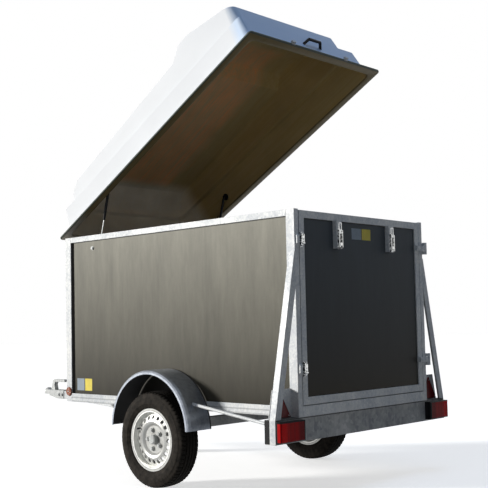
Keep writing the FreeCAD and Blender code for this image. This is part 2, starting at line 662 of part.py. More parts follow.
# Corner braces: angle from the rear post out to the end of the lamp bar.
brace = doc.addObject("Part::Feature", "brace_angle")
inner_low = at("lamp_bar_half")
brace_path = [
    (at("half_width"), at("brace_top")), (inner_low, at("frame_bottom")), (inner_low, at("bar_bottom"))]
sheet_thickness = at("brace_sheet")
outer_path = [(y + sheet_thickness, z) for y, z in reversed(brace_path)]
side_leg = Part.Face(Part.makePolygon(
    [Vector(0, y, z) for y, z in brace_path + outer_path + brace_path[:1]]))
side_leg = side_leg.extrude(Vector(at("brace_leg"), 0, 0))
lean = (inner_low - at("half_width")) / (at("brace_top") - at("frame_bottom"))
leg_start = at("brace_top") - at("brace_leg") / lean
rear_leg = Part.Face(Part.makePolygon([
    Vector(0, *brace_path[0]), Vector(0, *brace_path[1]),
    Vector(0, inner_low - at("brace_leg"), at("frame_bottom")),
    Vector(0, at("half_width"), leg_start), Vector(0, *brace_path[0])]))
rear_leg = rear_leg.extrude(Vector(sheet_thickness, 0, 0))
brace.Shape = side_leg.fuse(rear_leg).removeSplitter()
brace.Placement = Placement(Vector(at("rear"), 0, 0), Rotation())
finish(both_sides("brace_pair", brace), "braces")

# Plates beside the rear posts, cut to the brace's slope, with triangular reflectors.
plate_width = "reflector_side + 2 * plate_margin - post_corner"
plate_slope = "(lamp_bar_half - half_width) / (brace_top - frame_bottom)"
plate_centre = "rear + post_length - 2 * lamp_bar_sheet"
plate = padded(
    "reflector_plate_left", "YZ_Plane",
    (("0", "0"), (plate_width, "0"),
     (f"{plate_width} - reflector_plate_height * {plate_slope}", "reflector_plate_height"),
     ("0", "reflector_plate_height")),
    "lamp_bar_sheet", (plate_centre, "half_width", "frame_bottom"))
finish(both_sides("plates", plate), "reflector_plates")

triangle = padded(
    "triangle_left", "YZ_Plane",
    (("-reflector_side / 2", "0"), ("reflector_side / 2", "0"), ("0", "reflector_side * sqrt(3) / 2")),
    "reflector_depth",
    (f"{plate_centre} - lamp_bar_sheet / 2 - reflector_depth / 2",
     "half_width + plate_margin + reflector_side / 2", "frame_bottom + reflector_lift"))
finish(both_sides("triangles", triangle), "triangle_reflectors")

marker = turned(
    "marker_left",
    (("0", "0"), ("0", "marker_radius"), ("reflector_depth / 2", "marker_radius"),
     ("reflector_depth", "marker_radius - reflector_depth / 2"), ("reflector_depth", "0")),
    ("front - post_length / 2", "half_width", "sill_top + marker_rise"))
finish(both_sides("markers", marker), "side_markers")

lamp_y = "lamp_bar_half - lamp_length"
lamp_z = "bar_bottom + (lamp_bar_height - lamp_height) / 2"
lamp_back = block("lamp_base_left", ("lamp_base", "lamp_length", "lamp_height"),
                  ("bar_face - lamp_base", lamp_y, lamp_z))
finish(both_sides("lamp_bases", lamp_back), "lamp_housings")
lens_block = block("lamp_lens_block", ("lamp_lens", "lamp_length", "lamp_height"),
                   ("bar_face - lamp_base - lamp_lens", lamp_y, lamp_z))
lens_face = at("bar_face") - at("lamp_base") - at("lamp_lens") / 2
lens = softened("lamp_lens_left", lens_block, "lamp_corner", lambda edge: edge.BoundBox.XMax < lens_face)
finish(both_sides("lamp_glass", lens), "lamp_lenses")

# Stay from the mudguard's rear to the lamp bar's end.
stay = doc.addObject("Part::Feature", "stay_tube")
bar_web = at("bar_face") + at("lamp_bar_sheet")
stay_start = Vector(
    bar_web, at("lamp_bar_half") - at("stay_rear_in"), at("frame_bottom") - at("stay_rear_drop"))
stay_end = Vector(
    at("wheel_x") - at("mudguard_radius") / 2, at("half_width") + at("mudguard_width") / 2,
    at("frame_bottom") + at("stay_front_rise") * 2)
inside_guard = Part.makeCylinder(
    at("mudguard_radius"), at("mudguard_width"), Vector(at("wheel_x"), at("half_width"), at("mudguard_z")),
    Vector(0, 1, 0))
behind_web = Part.makeBox(
    at("lamp_bar_depth"), at("lamp_bar_half"), at("lamp_bar_height"),
    Vector(bar_web - at("lamp_bar_depth"), 0, at("bar_bottom")))
stay_line = stay_end - stay_start
stay.Shape = Part.makeCylinder(at("stay_radius"), stay_line.Length, stay_start, stay_line).cut(
    [inside_guard, behind_web])
finish(both_sides("stays", stay), "mudguard_stays")

# Road wheels, left drawn and right mirrored: tyre, pressed rim with a vented disc, hub.
wheel_centre = ("wheel_x", "wheel_y", "tyre_radius")
bead = "rim_width / 2 - 3 * rim_wall"
bed = "(rim_radius - bead_depth)"
tyre = turned(
    "tyre_ring_left",
    ((f"-({bead})", bed), ("-tyre_width / 2", "tyre_bulge"), ("-tyre_crown / 2", "tyre_radius"),
     ("tyre_crown / 2", "tyre_radius"), ("tyre_width / 2", "tyre_bulge"), (bead, bed)),
    wheel_centre)
well = "(rim_radius - well_depth)"
lip = "rim_width / 2"
crown_edge = "3 * rim_wall"
disc_face = "(disc_offset + rim_wall)"
rim = turned(
    "rim_ring_left",
    ((f"-{lip}", "rim_radius"), (f"rim_wall - {lip}", "rim_radius"), (f"rim_wall - {lip}", bed),
     ("-2 * well_half", bed), ("-well_half", well), ("well_half", well), ("disc_edge", bed),
     (f"{lip} - rim_wall", bed), (f"{lip} - rim_wall", "rim_radius"), (lip, "rim_radius"),
     (lip, f"{bed} - rim_wall"), ("disc_edge + rim_wall", f"{bed} - rim_wall"),
     ("disc_crown - rim_wall", f"crown_radius + {crown_edge}"), ("disc_crown", "crown_radius"),
     ("disc_crown - rim_wall", f"crown_radius - {crown_edge}"), (disc_face, "seat_radius"),
     (disc_face, "hub_cap_radius + rim_wall"), ("disc_offset", "hub_cap_radius + rim_wall"),
     ("disc_offset", "seat_radius + rim_wall / 2"),
     ("disc_crown - 2 * rim_wall", "crown_radius - 2 * rim_wall"),
     ("disc_crown - rim_wall", "crown_radius"), ("disc_edge", f"{well} - rim_wall"),
     ("-well_half", f"{well} - rim_wall"), ("-2 * well_half - rim_wall / 2", f"{bed} - rim_wall"),
     (f"-{lip}", f"{bed} - rim_wall")),
    wheel_centre)
vent_circle = rim.newObject("Sketcher::SketchObject", "vent_circle")
vent_circle.AttachmentSupport = [(plane_of(rim, "XZ_Plane"), "")]
vent_circle.MapMode = "FlatFace"
vent_circle.addGeometry(Part.Circle(Vector(at("vent_ring"), 0, 0), Vector(0, 0, 1), at("vent_radius")), False)
driven(vent_circle, "vent_radius", "Radius", 0)
driven(vent_circle, "vent_ring", "DistanceX", -1, 1, 0, 3)
vent_circle.addConstraint(Sketcher.Constraint("PointOnObject", 0, 3, -1))
vent = rim.newObject("PartDesign::Pocket", "vent")
vent.Profile = vent_circle
vent.Type = "ThroughAll"
vent.SideType = "Symmetric"
vents = rim.newObject("PartDesign::PolarPattern", "vents")
vents.Originals = [vent]
vents.Axis = (plane_of(rim, "Y_Axis"), [""])
vents.Angle = 360
vents.setExpression("Occurrences", bound("vent_count"))
rim.Tip = vents
bore = "spindle_radius + spindle_fit"
hub_end = "disc_offset - hub_length"
cap_face = "disc_offset + hub_cap_rise"
hub = turned(
    "hub_ring_left",
    ((hub_end, bore), (hub_end, "hub_barrel_radius"), ("disc_offset - hub_flange", "hub_barrel_radius"),
     ("disc_offset - hub_flange", "hub_flange_radius"), ("disc_offset", "hub_flange_radius"),
     ("disc_offset", "hub_cap_radius"), (f"{cap_face} - rim_wall", "hub_cap_radius"),
     (cap_face, "hub_cap_radius * 0.75"), (cap_face, "0"), ("disc_offset + rim_wall / 2", "0"),
     ("disc_offset + rim_wall / 2", bore)),
    wheel_centre)
for part_name, left_part in (("tyre", tyre), ("rim", rim), ("hub", hub)):
    finish(left_part, part_name + "_left")
    finish(mirrored(part_name + "_ring_right", left_part), part_name + "_right")

# Rear door: a welded frame of square tube with a plywood panel.
door_outside = block(
    "door_outside", ("door_tube_depth", "2 * door_half", "door_top - door_bottom"),
    ("rear", "-door_half", "door_bottom"))
door_inside = block(
    "door_inside",
    ("door_tube_depth", "2 * (door_half - door_tube_width)", "door_top - door_bottom - 2 * door_tube_width"),
    ("rear", "-door_half + door_tube_width", "door_bottom + door_tube_width"))
finish(cut("door_tubes", door_outside, door_inside), "door_frame")
finish(block(
    "door_board",
    ("panel_thickness", "2 * (door_half - door_tube_width)", "door_top - door_bottom - 2 * door_tube_width"),
    ("rear + door_panel_recess", "-door_half + door_tube_width", "door_bottom + door_tube_width")),
    "door_panel")

# Door hinges on the right and latches on the left, at two heights.
axis_x = "rear - door_axis_back"
axis_y = "-half_width - door_axis_out"
fixed_parts = []
moving_parts = []
latches = []
for index, height in enumerate(("fitting_high", "fitting_low")):
    knuckle_low = f"{height} - hinge_knuckle_height / 2"
    moving_parts.append(cut(
        f"door_strap_{index}",
        joined(
            f"door_strap_solid_{index}",
            rod(f"strap_knuckle_{index}", "hinge_knuckle_radius", "hinge_knuckle_height",
                (axis_x, axis_y, knuckle_low)),
            block(f"strap_arm_{index}",
                  ("hinge_plate", "half_width + door_axis_out - door_half + door_tube_width",
                   "hinge_knuckle_height"),
                  (f"{axis_x} - hinge_plate / 4", axis_y, knuckle_low)),
            block(f"strap_seat_{index}",
                  ("door_axis_back", "door_tube_width - hinge_plate", "hinge_knuckle_height"),
                  (axis_x, "-door_half + hinge_plate / 2", knuckle_low))),
        rod(f"strap_bore_{index}", "pin_radius + spindle_fit", "hinge_knuckle_height",
            (axis_x, axis_y, knuckle_low))))
    ears = []
    ear_low = f"{knuckle_low} - hinge_play - hinge_ear"
    stack = "hinge_knuckle_height + 2 * hinge_play + 2 * hinge_ear"
    for name, low in (("low", ear_low), ("high", f"{knuckle_low} + hinge_knuckle_height + hinge_play")):
        ears.append(rod(f"ear_{name}_{index}", "hinge_knuckle_radius", "hinge_ear", (axis_x, axis_y, low)))
        ears.append(block(
            f"ear_plate_{name}_{index}", ("door_axis_back + hinge_tail", "hinge_plate", "hinge_ear"),
            (axis_x, "-half_width - hinge_plate", low)))
    ears.append(block(
        f"ear_back_{index}", ("hinge_tail", "hinge_plate", stack),
        ("rear", "-half_width - hinge_plate", ear_low)))
    ears.append(rod(f"door_pin_{index}", "pin_radius", stack, (axis_x, axis_y, ear_low)))
    fixed_parts.append(joined(f"post_hinge_{index}", *ears))
    keeper_depth = "(latch_depth - latch_plate)"
    keeper_height = "(latch_height * 0.75)"
    fixed_parts.append(padded(
        f"post_keeper_{index}", "XZ_Plane",
        (("0", "0"), ("0", keeper_height), (f"-{keeper_depth}", f"{keeper_height} * 0.8"),
         (f"-{keeper_depth}", f"{keeper_height} * 0.2")),
        "post_width * 0.6", ("rear", "post_inside + post_width / 2", f"{height} - {keeper_height} / 2")))
    latches.append(padded(
        f"door_latch_{index}", "XZ_Plane",
        (("0", "0"), ("0", "latch_height"), ("-latch_plate", "latch_height"),
         ("-latch_depth", "latch_height * 0.85"), ("-latch_depth", "latch_height * 0.4"),
         ("-latch_depth * 0.6", "latch_height * 0.1"), ("-latch_plate", "0")),
        "latch_width", ("rear", "door_half - latch_width / 2 - 1", f"{height} - latch_height / 2")))
finish(group("door_straps", *moving_parts), "door_hinges")
finish(group("post_irons", *fixed_parts), "post_fittings")
finish(group("latch_pair", *latches), "door_latches")

# Lid catches: folded channels under the door's top tube, each with a toggle.
catch_low = "door_top - door_tube_width - catch_height"
catch_half = "catch_width / 2"
catch_inside = "(catch_width / 2 - catch_sheet)"
catch_reach = "(catch_depth + door_panel_recess)"
catch_plates = []
toggles = []
for side, sign in (("left", 1), ("right", -1)):
    middle = f"{sign} * catch_place"
    catch_plates.append(padded(
        f"catch_channel_{side}", "XY_Plane",
        (("0", f"-{catch_half}"), (catch_reach, f"-{catch_half}"), (catch_reach, f"-{catch_inside}"),
         ("catch_sheet", f"-{catch_inside}"), ("catch_sheet", catch_inside), (catch_reach, catch_inside),
         (catch_reach, catch_half), ("0", catch_half)),
        "catch_height", ("rear - catch_depth", middle, f"{catch_low} + catch_height / 2")))
    toggles.append(padded(
        f"catch_toggle_{side}", "XZ_Plane",
        (("0", "0"), ("0", "toggle_height"), ("-toggle_depth * 0.4", "toggle_height"),
         ("-toggle_depth", "toggle_height * 0.88"), ("-toggle_depth", "toggle_height * 0.3"),
         ("-toggle_depth * 0.6", "toggle_height * 0.06"), ("-toggle_depth * 0.4", "0")),
        "toggle_width", ("rear - catch_depth", middle, catch_low)))
finish(group("catch_plates", *catch_plates), "lid_catches")
finish(group("toggle_pair", *toggles), "catch_toggles")

# Lid, drawn shut about its hinge axis: x behind the axis is negative.
rim_low = at("lid_lift") + at("lid_axis_drop")
shoulder = rim_low + at("lid_shoulder")
wall_front = at("lid_front") - at("lid_flange")
wall_rear = -at("lid_reach") + at("lid_flange")
half_lid = at("lid_width") / 2 - at("lid_flange")
lean_in = at("lid_lean")
step = at("lid_step")


def rounded_plan(rear, front, half, corner, height):
    """A level rectangle with round corners, as a wire."""
    ways = (Vector(1, 0, 0), Vector(0, 1, 0), Vector(-1, 0, 0), Vector(0, -1, 0))
    tips = [Vector(x, y, height) for x, y in ((front, -half), (front, half), (rear, half), (rear, -half))]
    edges = []
    for index, tip in enumerate(tips):
        way_in = ways[index]
        way_out = ways[(index + 1) % 4]
        next_tip = tips[(index + 1) % 4]
        middle = tip + (way_out - way_in) * corner * (1 - math.sqrt(0.5))
        edges.append(Part.Arc(tip - way_in * corner, middle, tip + way_out * corner))
        edges.append(Part.LineSegment(tip + way_out * corner, next_tip - way_out * corner))
    return Part.Wire([edge.toShape() for edge in edges])


def tapered(name, plan, height):
    """A plan raised to a block whose walls lean inwards like the lid's."""
    base = doc.addObject("Part::Feature", name + "_plan")
    base.Shape = Part.Face(plan)
    piece = doc.addObject("Part::Extrusion", name)
    piece.Base = base
    piece.DirMode = "Custom"
    piece.Dir = Vector(0, 0, 1)
    piece.LengthFwd = height
    piece.TaperAngle = -math.degrees(math.atan(lean_in / at("lid_shoulder")))
    piece.Solid = True
    doc.recompute()
    return piece.Shape


def lid_block(name, inset):
    """The lid's walls and roof as one block, drawn in by an inset."""
    drop = at("lid_flange") if inset else 0
    spread = drop * lean_in / at("lid_shoulder") - inset
    start = rim_low - drop
    wall_plan = rounded_plan(
        wall_rear - spread, wall_front + spread, half_lid + spread, at("lid_corner") + spread, start)
    lower = tapered(name + "_walls", wall_plan, shoulder - inset - start)
    front = wall_front - lean_in - step - inset
    rear = wall_rear + lean_in + step + inset
    half = half_lid - lean_in - step - inset
    start = shoulder - 2 * step
    crest = rim_low + at("roof_crest") - inset
    roof_plan = rounded_plan(rear, front, half, at("lid_corner") + step - inset, start)
    upper = tapered(name + "_roof", roof_plan, crest + step - start)
    front_foot = shoulder + step - inset
    roof_rear = rim_low + at("roof_rear") - inset
    roof = [
        (0, front_foot), (front, front_foot), (front - at("lid_rake"), rim_low + at("roof_front") - inset),
        (rear + at("crest_foot"), rim_low + at("roof_middle") - inset), (rear + at("crest_front"), crest),
        (rear + at("crest_rear"), crest), (rear + lean_in, roof_rear),
        (-at("lid_reach"), roof_rear - at("lid_flange")), (-at("lid_reach"), 0), (0, 0)]
    roof_wire = Part.makePolygon([Vector(x, -at("lid_width"), z) for x, z in roof + roof[:1]])
    profile = Part.Face(roof_wire).extrude(Vector(0, 2 * at("lid_width"), 0))
    return lower.fuse(upper.common(profile))


lid_outside = lid_block("lid_outside", 0)
lid_inside = lid_block("lid_inside", at("lid_wall"))
rim_plan = rounded_plan(
    -at("lid_reach"), at("lid_front"), at("lid_width") / 2, at("lid_rim_corner"), rim_low)
rim_plate = Part.Face(rim_plan).extrude(Vector(0, 0, at("lid_rim_thickness")))
lid_open = Placement(
    Vector(at("lid_x"), 0, at("lid_z")), Rotation(Vector(0, 1, 0), at("lid_open_angle")))


def on_lid(name, label, shape):
    """A lid piece drawn shut, then raised with the lid."""
    piece = doc.addObject("Part::Feature", name)
    piece.Shape = shape
    piece.Placement = lid_open
    return finish(piece, label)


on_lid("lid_moulding", "lid_shell", lid_outside.fuse(rim_plate).cut(lid_inside).removeSplitter())

# Lid handle: a round bar bent to a loop, its feet trimmed to the rear wall.
foot_rise = at("lid_handle_rise")
foot_x = wall_rear + foot_rise * lean_in / at("lid_shoulder")
handle_points = []
for sign in (-1, 1):
    foot_y = sign * at("lid_handle_length") / 2 - at("lid_handle_shift")
    wall_point = Vector(foot_x, foot_y, rim_low + foot_rise)
    grip_point = Vector(
        wall_rear - at("lid_handle_out"), foot_y - sign * at("lid_handle_taper"),
        wall_point.z + at("lid_handle_lift"))
    leg = [wall_point * 2 - grip_point, grip_point]
    handle_points += leg if sign < 0 else leg[::-1]
handle_line = Part.makePolygon(handle_points)
handle_start = handle_line.Vertexes[0].Point
handle_way = handle_line.Vertexes[1].Point - handle_start
handle_ring = Part.Wire(Part.makeCircle(at("lid_handle_radius"), handle_start, handle_way))
sweep = Part.BRepOffsetAPI.MakePipeShell(handle_line)
sweep.setTransitionMode(2)
sweep.add(handle_ring)
sweep.build()
sweep.makeSolid()
on_lid("lid_grip", "lid_handle", sweep.shape().cut(lid_outside))

# Keeper hooks for the catches, on the rim's rear edge.
keeper_depth = at("keeper_depth")
keeper_height = at("keeper_height")
keeper_bar = keeper_depth / 3
hook_points = [
    (0, 0), (0, keeper_height), (-keeper_depth, keeper_height), (-keeper_depth, keeper_bar),
    (-2 * keeper_bar, keeper_bar), (-2 * keeper_bar, 2 * keeper_bar), (-keeper_bar, 2 * keeper_bar),
    (-keeper_bar, 0)]
hook_face = Part.Face(Part.makePolygon(
    [Vector(x - at("lid_reach"), 0, rim_low + z) for x, z in hook_points + hook_points[:1]]))
hook = hook_face.extrude(Vector(0, at("keeper_width"), 0))
keeper_shapes = []
for sign in (1, -1):
    keeper = hook.copy()
    keeper.translate(Vector(0, sign * at("catch_place") - at("keeper_width") / 2, 0))
    keeper_shapes.append(keeper)
on_lid("lid_hooks", "lid_keepers", Part.makeCompound(keeper_shapes))

# Lid hinges: a moving leaf with its barrel between two fixed ears on the front rail.
knuckle = at("hinge_knuckle_radius")
pin = at("pin_radius")
fit = at("spindle_fit")
leaf_half = at("leaf_width") / 2
ear = at("leaf_ear")
play = at("hinge_play")
leaf_sheet = at("leaf_sheet")
leaf_back = at("lid_front") - leaf_sheet
across = Vector(0, 1, 0)
lid_leaves = []
rail_leaves = []
for y in (-at("leaf_place"), at("leaf_place")):
    start = Vector(0, y - leaf_half, 0)
    barrel = Part.makeCylinder(knuckle, 2 * leaf_half, start, across)
    leaf = Part.makeBox(
        2 * leaf_back, 2 * leaf_half, leaf_sheet,
        Vector(-leaf_back, y - leaf_half, rim_low - leaf_sheet))
    web = Part.makeBox(
        2 * leaf_sheet, 2 * leaf_half, rim_low, Vector(-leaf_sheet, y - leaf_half, 0))
    hole = Part.makeCylinder(pin + fit, 2 * leaf_half, start, across)
    lid_leaves.append(barrel.fuse([leaf, web]).cut(hole))
    reach_out = leaf_half + play + ear
    ears = [Part.makeCylinder(pin, 2 * reach_out, Vector(0, y - reach_out, 0), across)]
    for low in (y - reach_out, y + leaf_half + play):
        ears.append(Part.makeCylinder(knuckle, ear, Vector(0, low, 0), across))
        ears.append(Part.makeBox(
            at("lid_axis_ahead"), ear, knuckle, Vector(-at("lid_axis_ahead"), low, -knuckle)))
    rail_leaves.append(ears[0].fuse(ears[1:]))

rail_hinges = doc.addObject("Part::Feature", "rail_hinges")
rail_hinges.Shape = Part.makeCompound(rail_leaves)
rail_hinges.Placement = Placement(Vector(at("lid_x"), 0, at("lid_z")), Rotation())
finish(rail_hinges, "lid_hinge_leaves")
on_lid("lid_knuckles", "lid_hinge_knuckles", Part.makeCompound(lid_leaves))

# Strut brackets: pads moulded to the lid's inner sides, each with a stud.
head_x = -at("strut_head_place")
head_z = at("strut_head_rise")
eye_half = at("eye_width") / 2
tab_face = at("pad_face")
tab_half = at("strut_tab") / 2
pin_start = at("strut_plane") - eye_half - at("pin_end")
tab = Part.makeCylinder(tab_half, at("lid_width"), Vector(head_x, tab_face, head_z), across)
stud = Part.makeCylinder(
    at("strut_pin_radius"), tab_face - pin_start, Vector(head_x, pin_start, head_z), across)
bracket = tab.common(lid_inside).fuse(stud)
on_lid("lid_strut_tabs", "lid_strut_brackets",
       Part.makeCompound([bracket, bracket.mirror(Vector(), across)]))


# Gas struts between the lid and the side walls, drawn at full length.
def spun(points, start, direction):
    """A solid turned about a line; points are (place along it, radius)."""
    face = Part.Face(Part.makePolygon([Vector(r, 0, place) for place, r in points + points[:1]]))
    shape = face.revolve(Vector(), Vector(0, 0, 1), 360)
    shape.Placement = Placement(start, Rotation(Vector(0, 0, 1), direction))
    return shape


foot = Vector(at("front") - at("strut_foot_place"), 0, at("body_top") - at("strut_foot_drop"))
head_point = lid_open.multVec(Vector(head_x, 0, head_z))
run = foot - head_point
length = run.Length
run.normalize()
tube_radius = at("strut_body_radius")
tube_end = at("strut_body_length")
rod_radius = at("strut_rod_radius")
crimp = at("strut_crimp")
bore_start = at("strut_neck") + at("strut_cap")
tube_points = [
    (0, 0), (0, rod_radius), (at("strut_neck"), rod_radius), (at("strut_neck"), tube_radius),
    (tube_end - 4 * crimp, tube_radius), (tube_end - 3 * crimp, tube_radius - crimp),
    (tube_end - 2 * crimp, tube_radius), (tube_end, tube_radius - crimp),
    (tube_end, rod_radius + at("strut_bore_fit")), (bore_start, rod_radius + at("strut_bore_fit")),
    (bore_start, 0)]
shaft_length = length - tube_end + at("strut_overlap")
shaft_points = [(0, 0), (0, rod_radius), (shaft_length, rod_radius), (shaft_length, 0)]
for side, sign in (("left", 1), ("right", -1)):
    middle = across * (sign * at("strut_plane"))
    eye_shift = middle - across * eye_half
    eye = Part.makeCylinder(at("eye_radius"), 2 * eye_half, head_point + eye_shift, across)
    hole = Part.makeCylinder(
        at("strut_pin_radius") + at("strut_pin_fit"), 2 * eye_half, head_point + eye_shift, across)
    cylinder = doc.addObject("Part::Feature", f"strut_tube_{side}")
    cylinder.Shape = spun(tube_points, head_point + middle, run).fuse(eye).cut(hole)
    finish(cylinder, f"strut_cylinder_{side}")
    eye = Part.makeCylinder(at("eye_radius"), 2 * eye_half, foot + eye_shift, across)
    piston = doc.addObject("Part::Feature", f"strut_shaft_{side}")
    piston.Shape = spun(shaft_points, foot + middle, -run).fuse(eye)
    finish(piston, f"strut_rod_{side}")

# Strut feet: a plate on the side wall with a stud for the rod's eye.
foot_plate = block(
    "foot_plate", ("foot_plate_length", "foot_plate_sheet", "foot_plate_height"),
    ("front - strut_foot_place - foot_plate_length / 4", "panel_inside - foot_plate_sheet",
     "body_top - strut_foot_drop - foot_plate_height / 2"))
stud_start = "strut_plane + eye_width / 2 + foot_gap"
foot_stud = rod(
    "foot_stud", "foot_stud_radius", f"panel_inside - ({stud_start})",
    ("front - strut_foot_place", stud_start, "body_top - strut_foot_drop"), "Y")
finish(both_sides("strut_feet", joined("strut_foot", foot_plate, foot_stud)), "strut_feet_pair")

# Jockey wheel: clamp and outer tube on the right arm, leg, castor fork and wheel.
jockey_x = at("jockey_x")
outer_radius = at("jockey_tube_radius")
clamp_wall = at("clamp_wall")
arm_at_jockey = nose_half + run_y * (arm_front - jockey_x) / run_x
arm_face_y = arm_at_jockey + side_step
tube_y = arm_face_y + at("clamp_back") + outer_radius
jockey_centre = Vector(jockey_x, -tube_y, 0)


def upright(radius, low, high):
    """A vertical round bar on the jockey wheel's axis."""
    return Part.makeCylinder(radius, high - low, jockey_centre + Vector(0, 0, low))


clamp_high = at("frame_bottom") - at("bracket_flange") / 2
clamp_low = clamp_high - at("clamp_height")
clamp_ring = upright(outer_radius + clamp_wall, clamp_low, clamp_high)
clamp_bridge = Part.makeBox(
    2 * outer_radius, tube_y - arm_at_jockey, at("clamp_height"),
    Vector(jockey_x - outer_radius, -tube_y, clamp_low))
clamp = doc.addObject("Part::Feature", "jockey_clamp_block")
clamp_bore = upright(outer_radius, clamp_low, clamp_high)
clamp.Shape = clamp_ring.fuse(clamp_bridge).cut([clamp_bore, arm.Shape.mirror(Vector(), across)])
finish(clamp, "jockey_clamp")

outer_tube = doc.addObject("Part::Feature", "jockey_outer_tube")
tube_low = at("jockey_tube_bottom")
tube_top = at("jockey_tube_top")
tube_wall = outer_radius - at("jockey_leg_radius")
crank_radius = at("crank_radius")
crank_top = tube_top + at("crank_rise")
knob = [(0, 0), (0, crank_radius), (crank_radius, at("knob_radius")),
        (at("knob_length") - crank_radius, at("knob_radius")), (at("knob_length"), crank_radius),
        (at("knob_length"), 0)]
crank = upright(crank_radius, tube_top, crank_top).fuse([
    Part.makeCylinder(crank_radius, at("crank_reach"), jockey_centre + Vector(0, 0, crank_top - crank_radius),
                      Vector(1, 0, 0)),
    spun(knob, jockey_centre + Vector(at("crank_reach"), 0, crank_top - 2 * crank_radius), Vector(0, 0, 1))])
outer_tube.Shape = upright(outer_radius, tube_low, tube_top).cut(
    upright(at("jockey_leg_radius") + at("jockey_fit"), tube_low, tube_top - 2 * tube_wall)).fuse(crank)
finish(outer_tube, "jockey_tube")

leg = doc.addObject("Part::Feature", "jockey_inner_tube")
leg.Shape = upright(at("jockey_leg_radius"), at("jockey_leg_bottom"), at("jockey_leg_top"))
finish(leg, "jockey_leg")

# Castor fork: a crown plate, two tapered cheeks and the wheel's pin.
castor = doc.addObject("Part::Feature", "jockey_castor")
wheel_pin = jockey_centre + Vector(-at("jockey_trail"), 0, at("jockey_wheel_radius"))
half_fork = at("jockey_wheel_width") / 2 + at("fork_gap")
fork_outside = half_fork + at("fork_sheet")
crown_high = at("jockey_leg_bottom") - at("seat_gap")
crown = link_plate(
    Vector(), at("jockey_leg_radius") + at("fork_crown"), Vector(-at("jockey_trail"), 0, 0),
    fork_outside, at("fork_crown"))
crown.rotate(Vector(), Vector(1, 0, 0), 90)
crown.translate(jockey_centre + Vector(0, 0, crown_high - at("fork_crown")))
cheek_top = Vector(wheel_pin.x, 0, crown_high - fork_outside)
cheek_face = link_plate(
    cheek_top, fork_outside, Vector(wheel_pin.x, 0, wheel_pin.z), at("fork_tip_radius"), at("fork_sheet"))
cheeks = []
for low in (half_fork, -fork_outside):
    cheek = cheek_face.copy()
    cheek.translate(Vector(0, wheel_pin.y + low, 0))
    cheeks.append(cheek)
fork_pin = Part.makeCylinder(
    at("jockey_pin_radius"), 2 * fork_outside, wheel_pin - across * fork_outside, across)
castor.Shape = crown.fuse(cheeks + [fork_pin])
finish(castor, "jockey_fork")

castor_wheel = doc.addObject("Part::Feature", "jockey_road_wheel")
half_castor = at("jockey_wheel_width") / 2
castor_radius = at("jockey_wheel_radius")
castor_rim = at("jockey_rim_radius")
dish = at("jockey_dish")
castor_side = [
    (half_castor, at("jockey_pin_radius") + fit), (half_castor, at("jockey_hub_radius")),
    (half_castor - dish, at("jockey_hub_radius") + dish / 2), (half_castor - dish, castor_rim - dish),
    (half_castor - dish / 3, castor_rim), (half_castor, castor_radius - 2 * dish),
    (half_castor - dish, castor_radius)]
castor_points = castor_side + [(-place, radius) for place, radius in reversed(castor_side)]
castor_wheel.Shape = spun(castor_points, wheel_pin, across)
finish(castor_wheel, "jockey_wheel")

doc.recompute()

for item in doc.Objects:
    if "Invalid" in item.State or "Error" in item.State:
        raise RuntimeError("failed object: " + item.Name)
for piece in finished:
    if piece.Shape.isNull() or not piece.Shape.isValid():
        raise RuntimeError("bad shape: " + piece.Label)
for piece in finished:
    piece.Shape.exportStep(os.path.join("parts", piece.Label + ".step"))
print(len(finished), "sub-parts written")
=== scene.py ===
import json
import math

import bmesh
import bpy
from bpy.props import FloatProperty, FloatVectorProperty, IntProperty, PointerProperty
from mathutils import Matrix, Vector


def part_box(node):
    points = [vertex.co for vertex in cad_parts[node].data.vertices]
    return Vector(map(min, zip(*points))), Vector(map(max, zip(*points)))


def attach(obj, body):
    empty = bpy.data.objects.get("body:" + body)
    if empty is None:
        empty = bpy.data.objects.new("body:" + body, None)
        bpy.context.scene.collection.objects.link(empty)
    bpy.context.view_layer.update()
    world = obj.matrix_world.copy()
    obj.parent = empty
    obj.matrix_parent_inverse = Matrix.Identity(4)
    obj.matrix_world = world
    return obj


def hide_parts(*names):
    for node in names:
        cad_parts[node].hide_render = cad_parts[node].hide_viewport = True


# A box trailer with its moulded lid open, dressed in real finishes on a plain pale stage.
# Metres, +X to the coupling, +Y to the left, +Z up; places come from the frame's boxes and joints.

bl_info = {
    "name": "Box trailer",
    "version": (1, 0, 0),
    "blender": (4, 5, 0),
    "location": "View3D > Sidebar > Trailer",
    "description": "Dresses the frame of a box trailer and sets it on a pale stage",
    "category": "Object",
}

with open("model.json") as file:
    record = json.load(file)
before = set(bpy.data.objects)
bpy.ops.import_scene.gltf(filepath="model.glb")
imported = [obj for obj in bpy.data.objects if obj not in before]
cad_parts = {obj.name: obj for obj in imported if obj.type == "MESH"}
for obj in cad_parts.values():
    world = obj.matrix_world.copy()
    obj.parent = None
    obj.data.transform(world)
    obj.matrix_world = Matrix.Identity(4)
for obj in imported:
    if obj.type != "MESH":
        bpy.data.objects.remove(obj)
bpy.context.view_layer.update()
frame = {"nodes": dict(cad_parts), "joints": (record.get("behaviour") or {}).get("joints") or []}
NODES = frame["nodes"]
JOINTS = {joint["name"]: joint for joint in frame["joints"]}
LID_AXIS = Vector(JOINTS["lid_hinge"]["pos_m"])
LID_ANGLE = math.radians(JOINTS["lid_hinge"]["range_deg"][0])
LID_TURN = Matrix.Rotation(LID_ANGLE, 4, "Y")
FACE_GAP = 0.0003

# Blank stickers: each half's span across the wall, and the foot and top of the pair.
DOOR_HALVES = {"pale": (0.010, 0.099), "yellow": (-0.078, 0.004)}
DOOR_ROW = (1.397, 1.460)
SIDE_HALVES = {"pale": (0.284, 0.362), "yellow": (0.202, 0.276)}
SIDE_ROW = (0.522, 0.600)


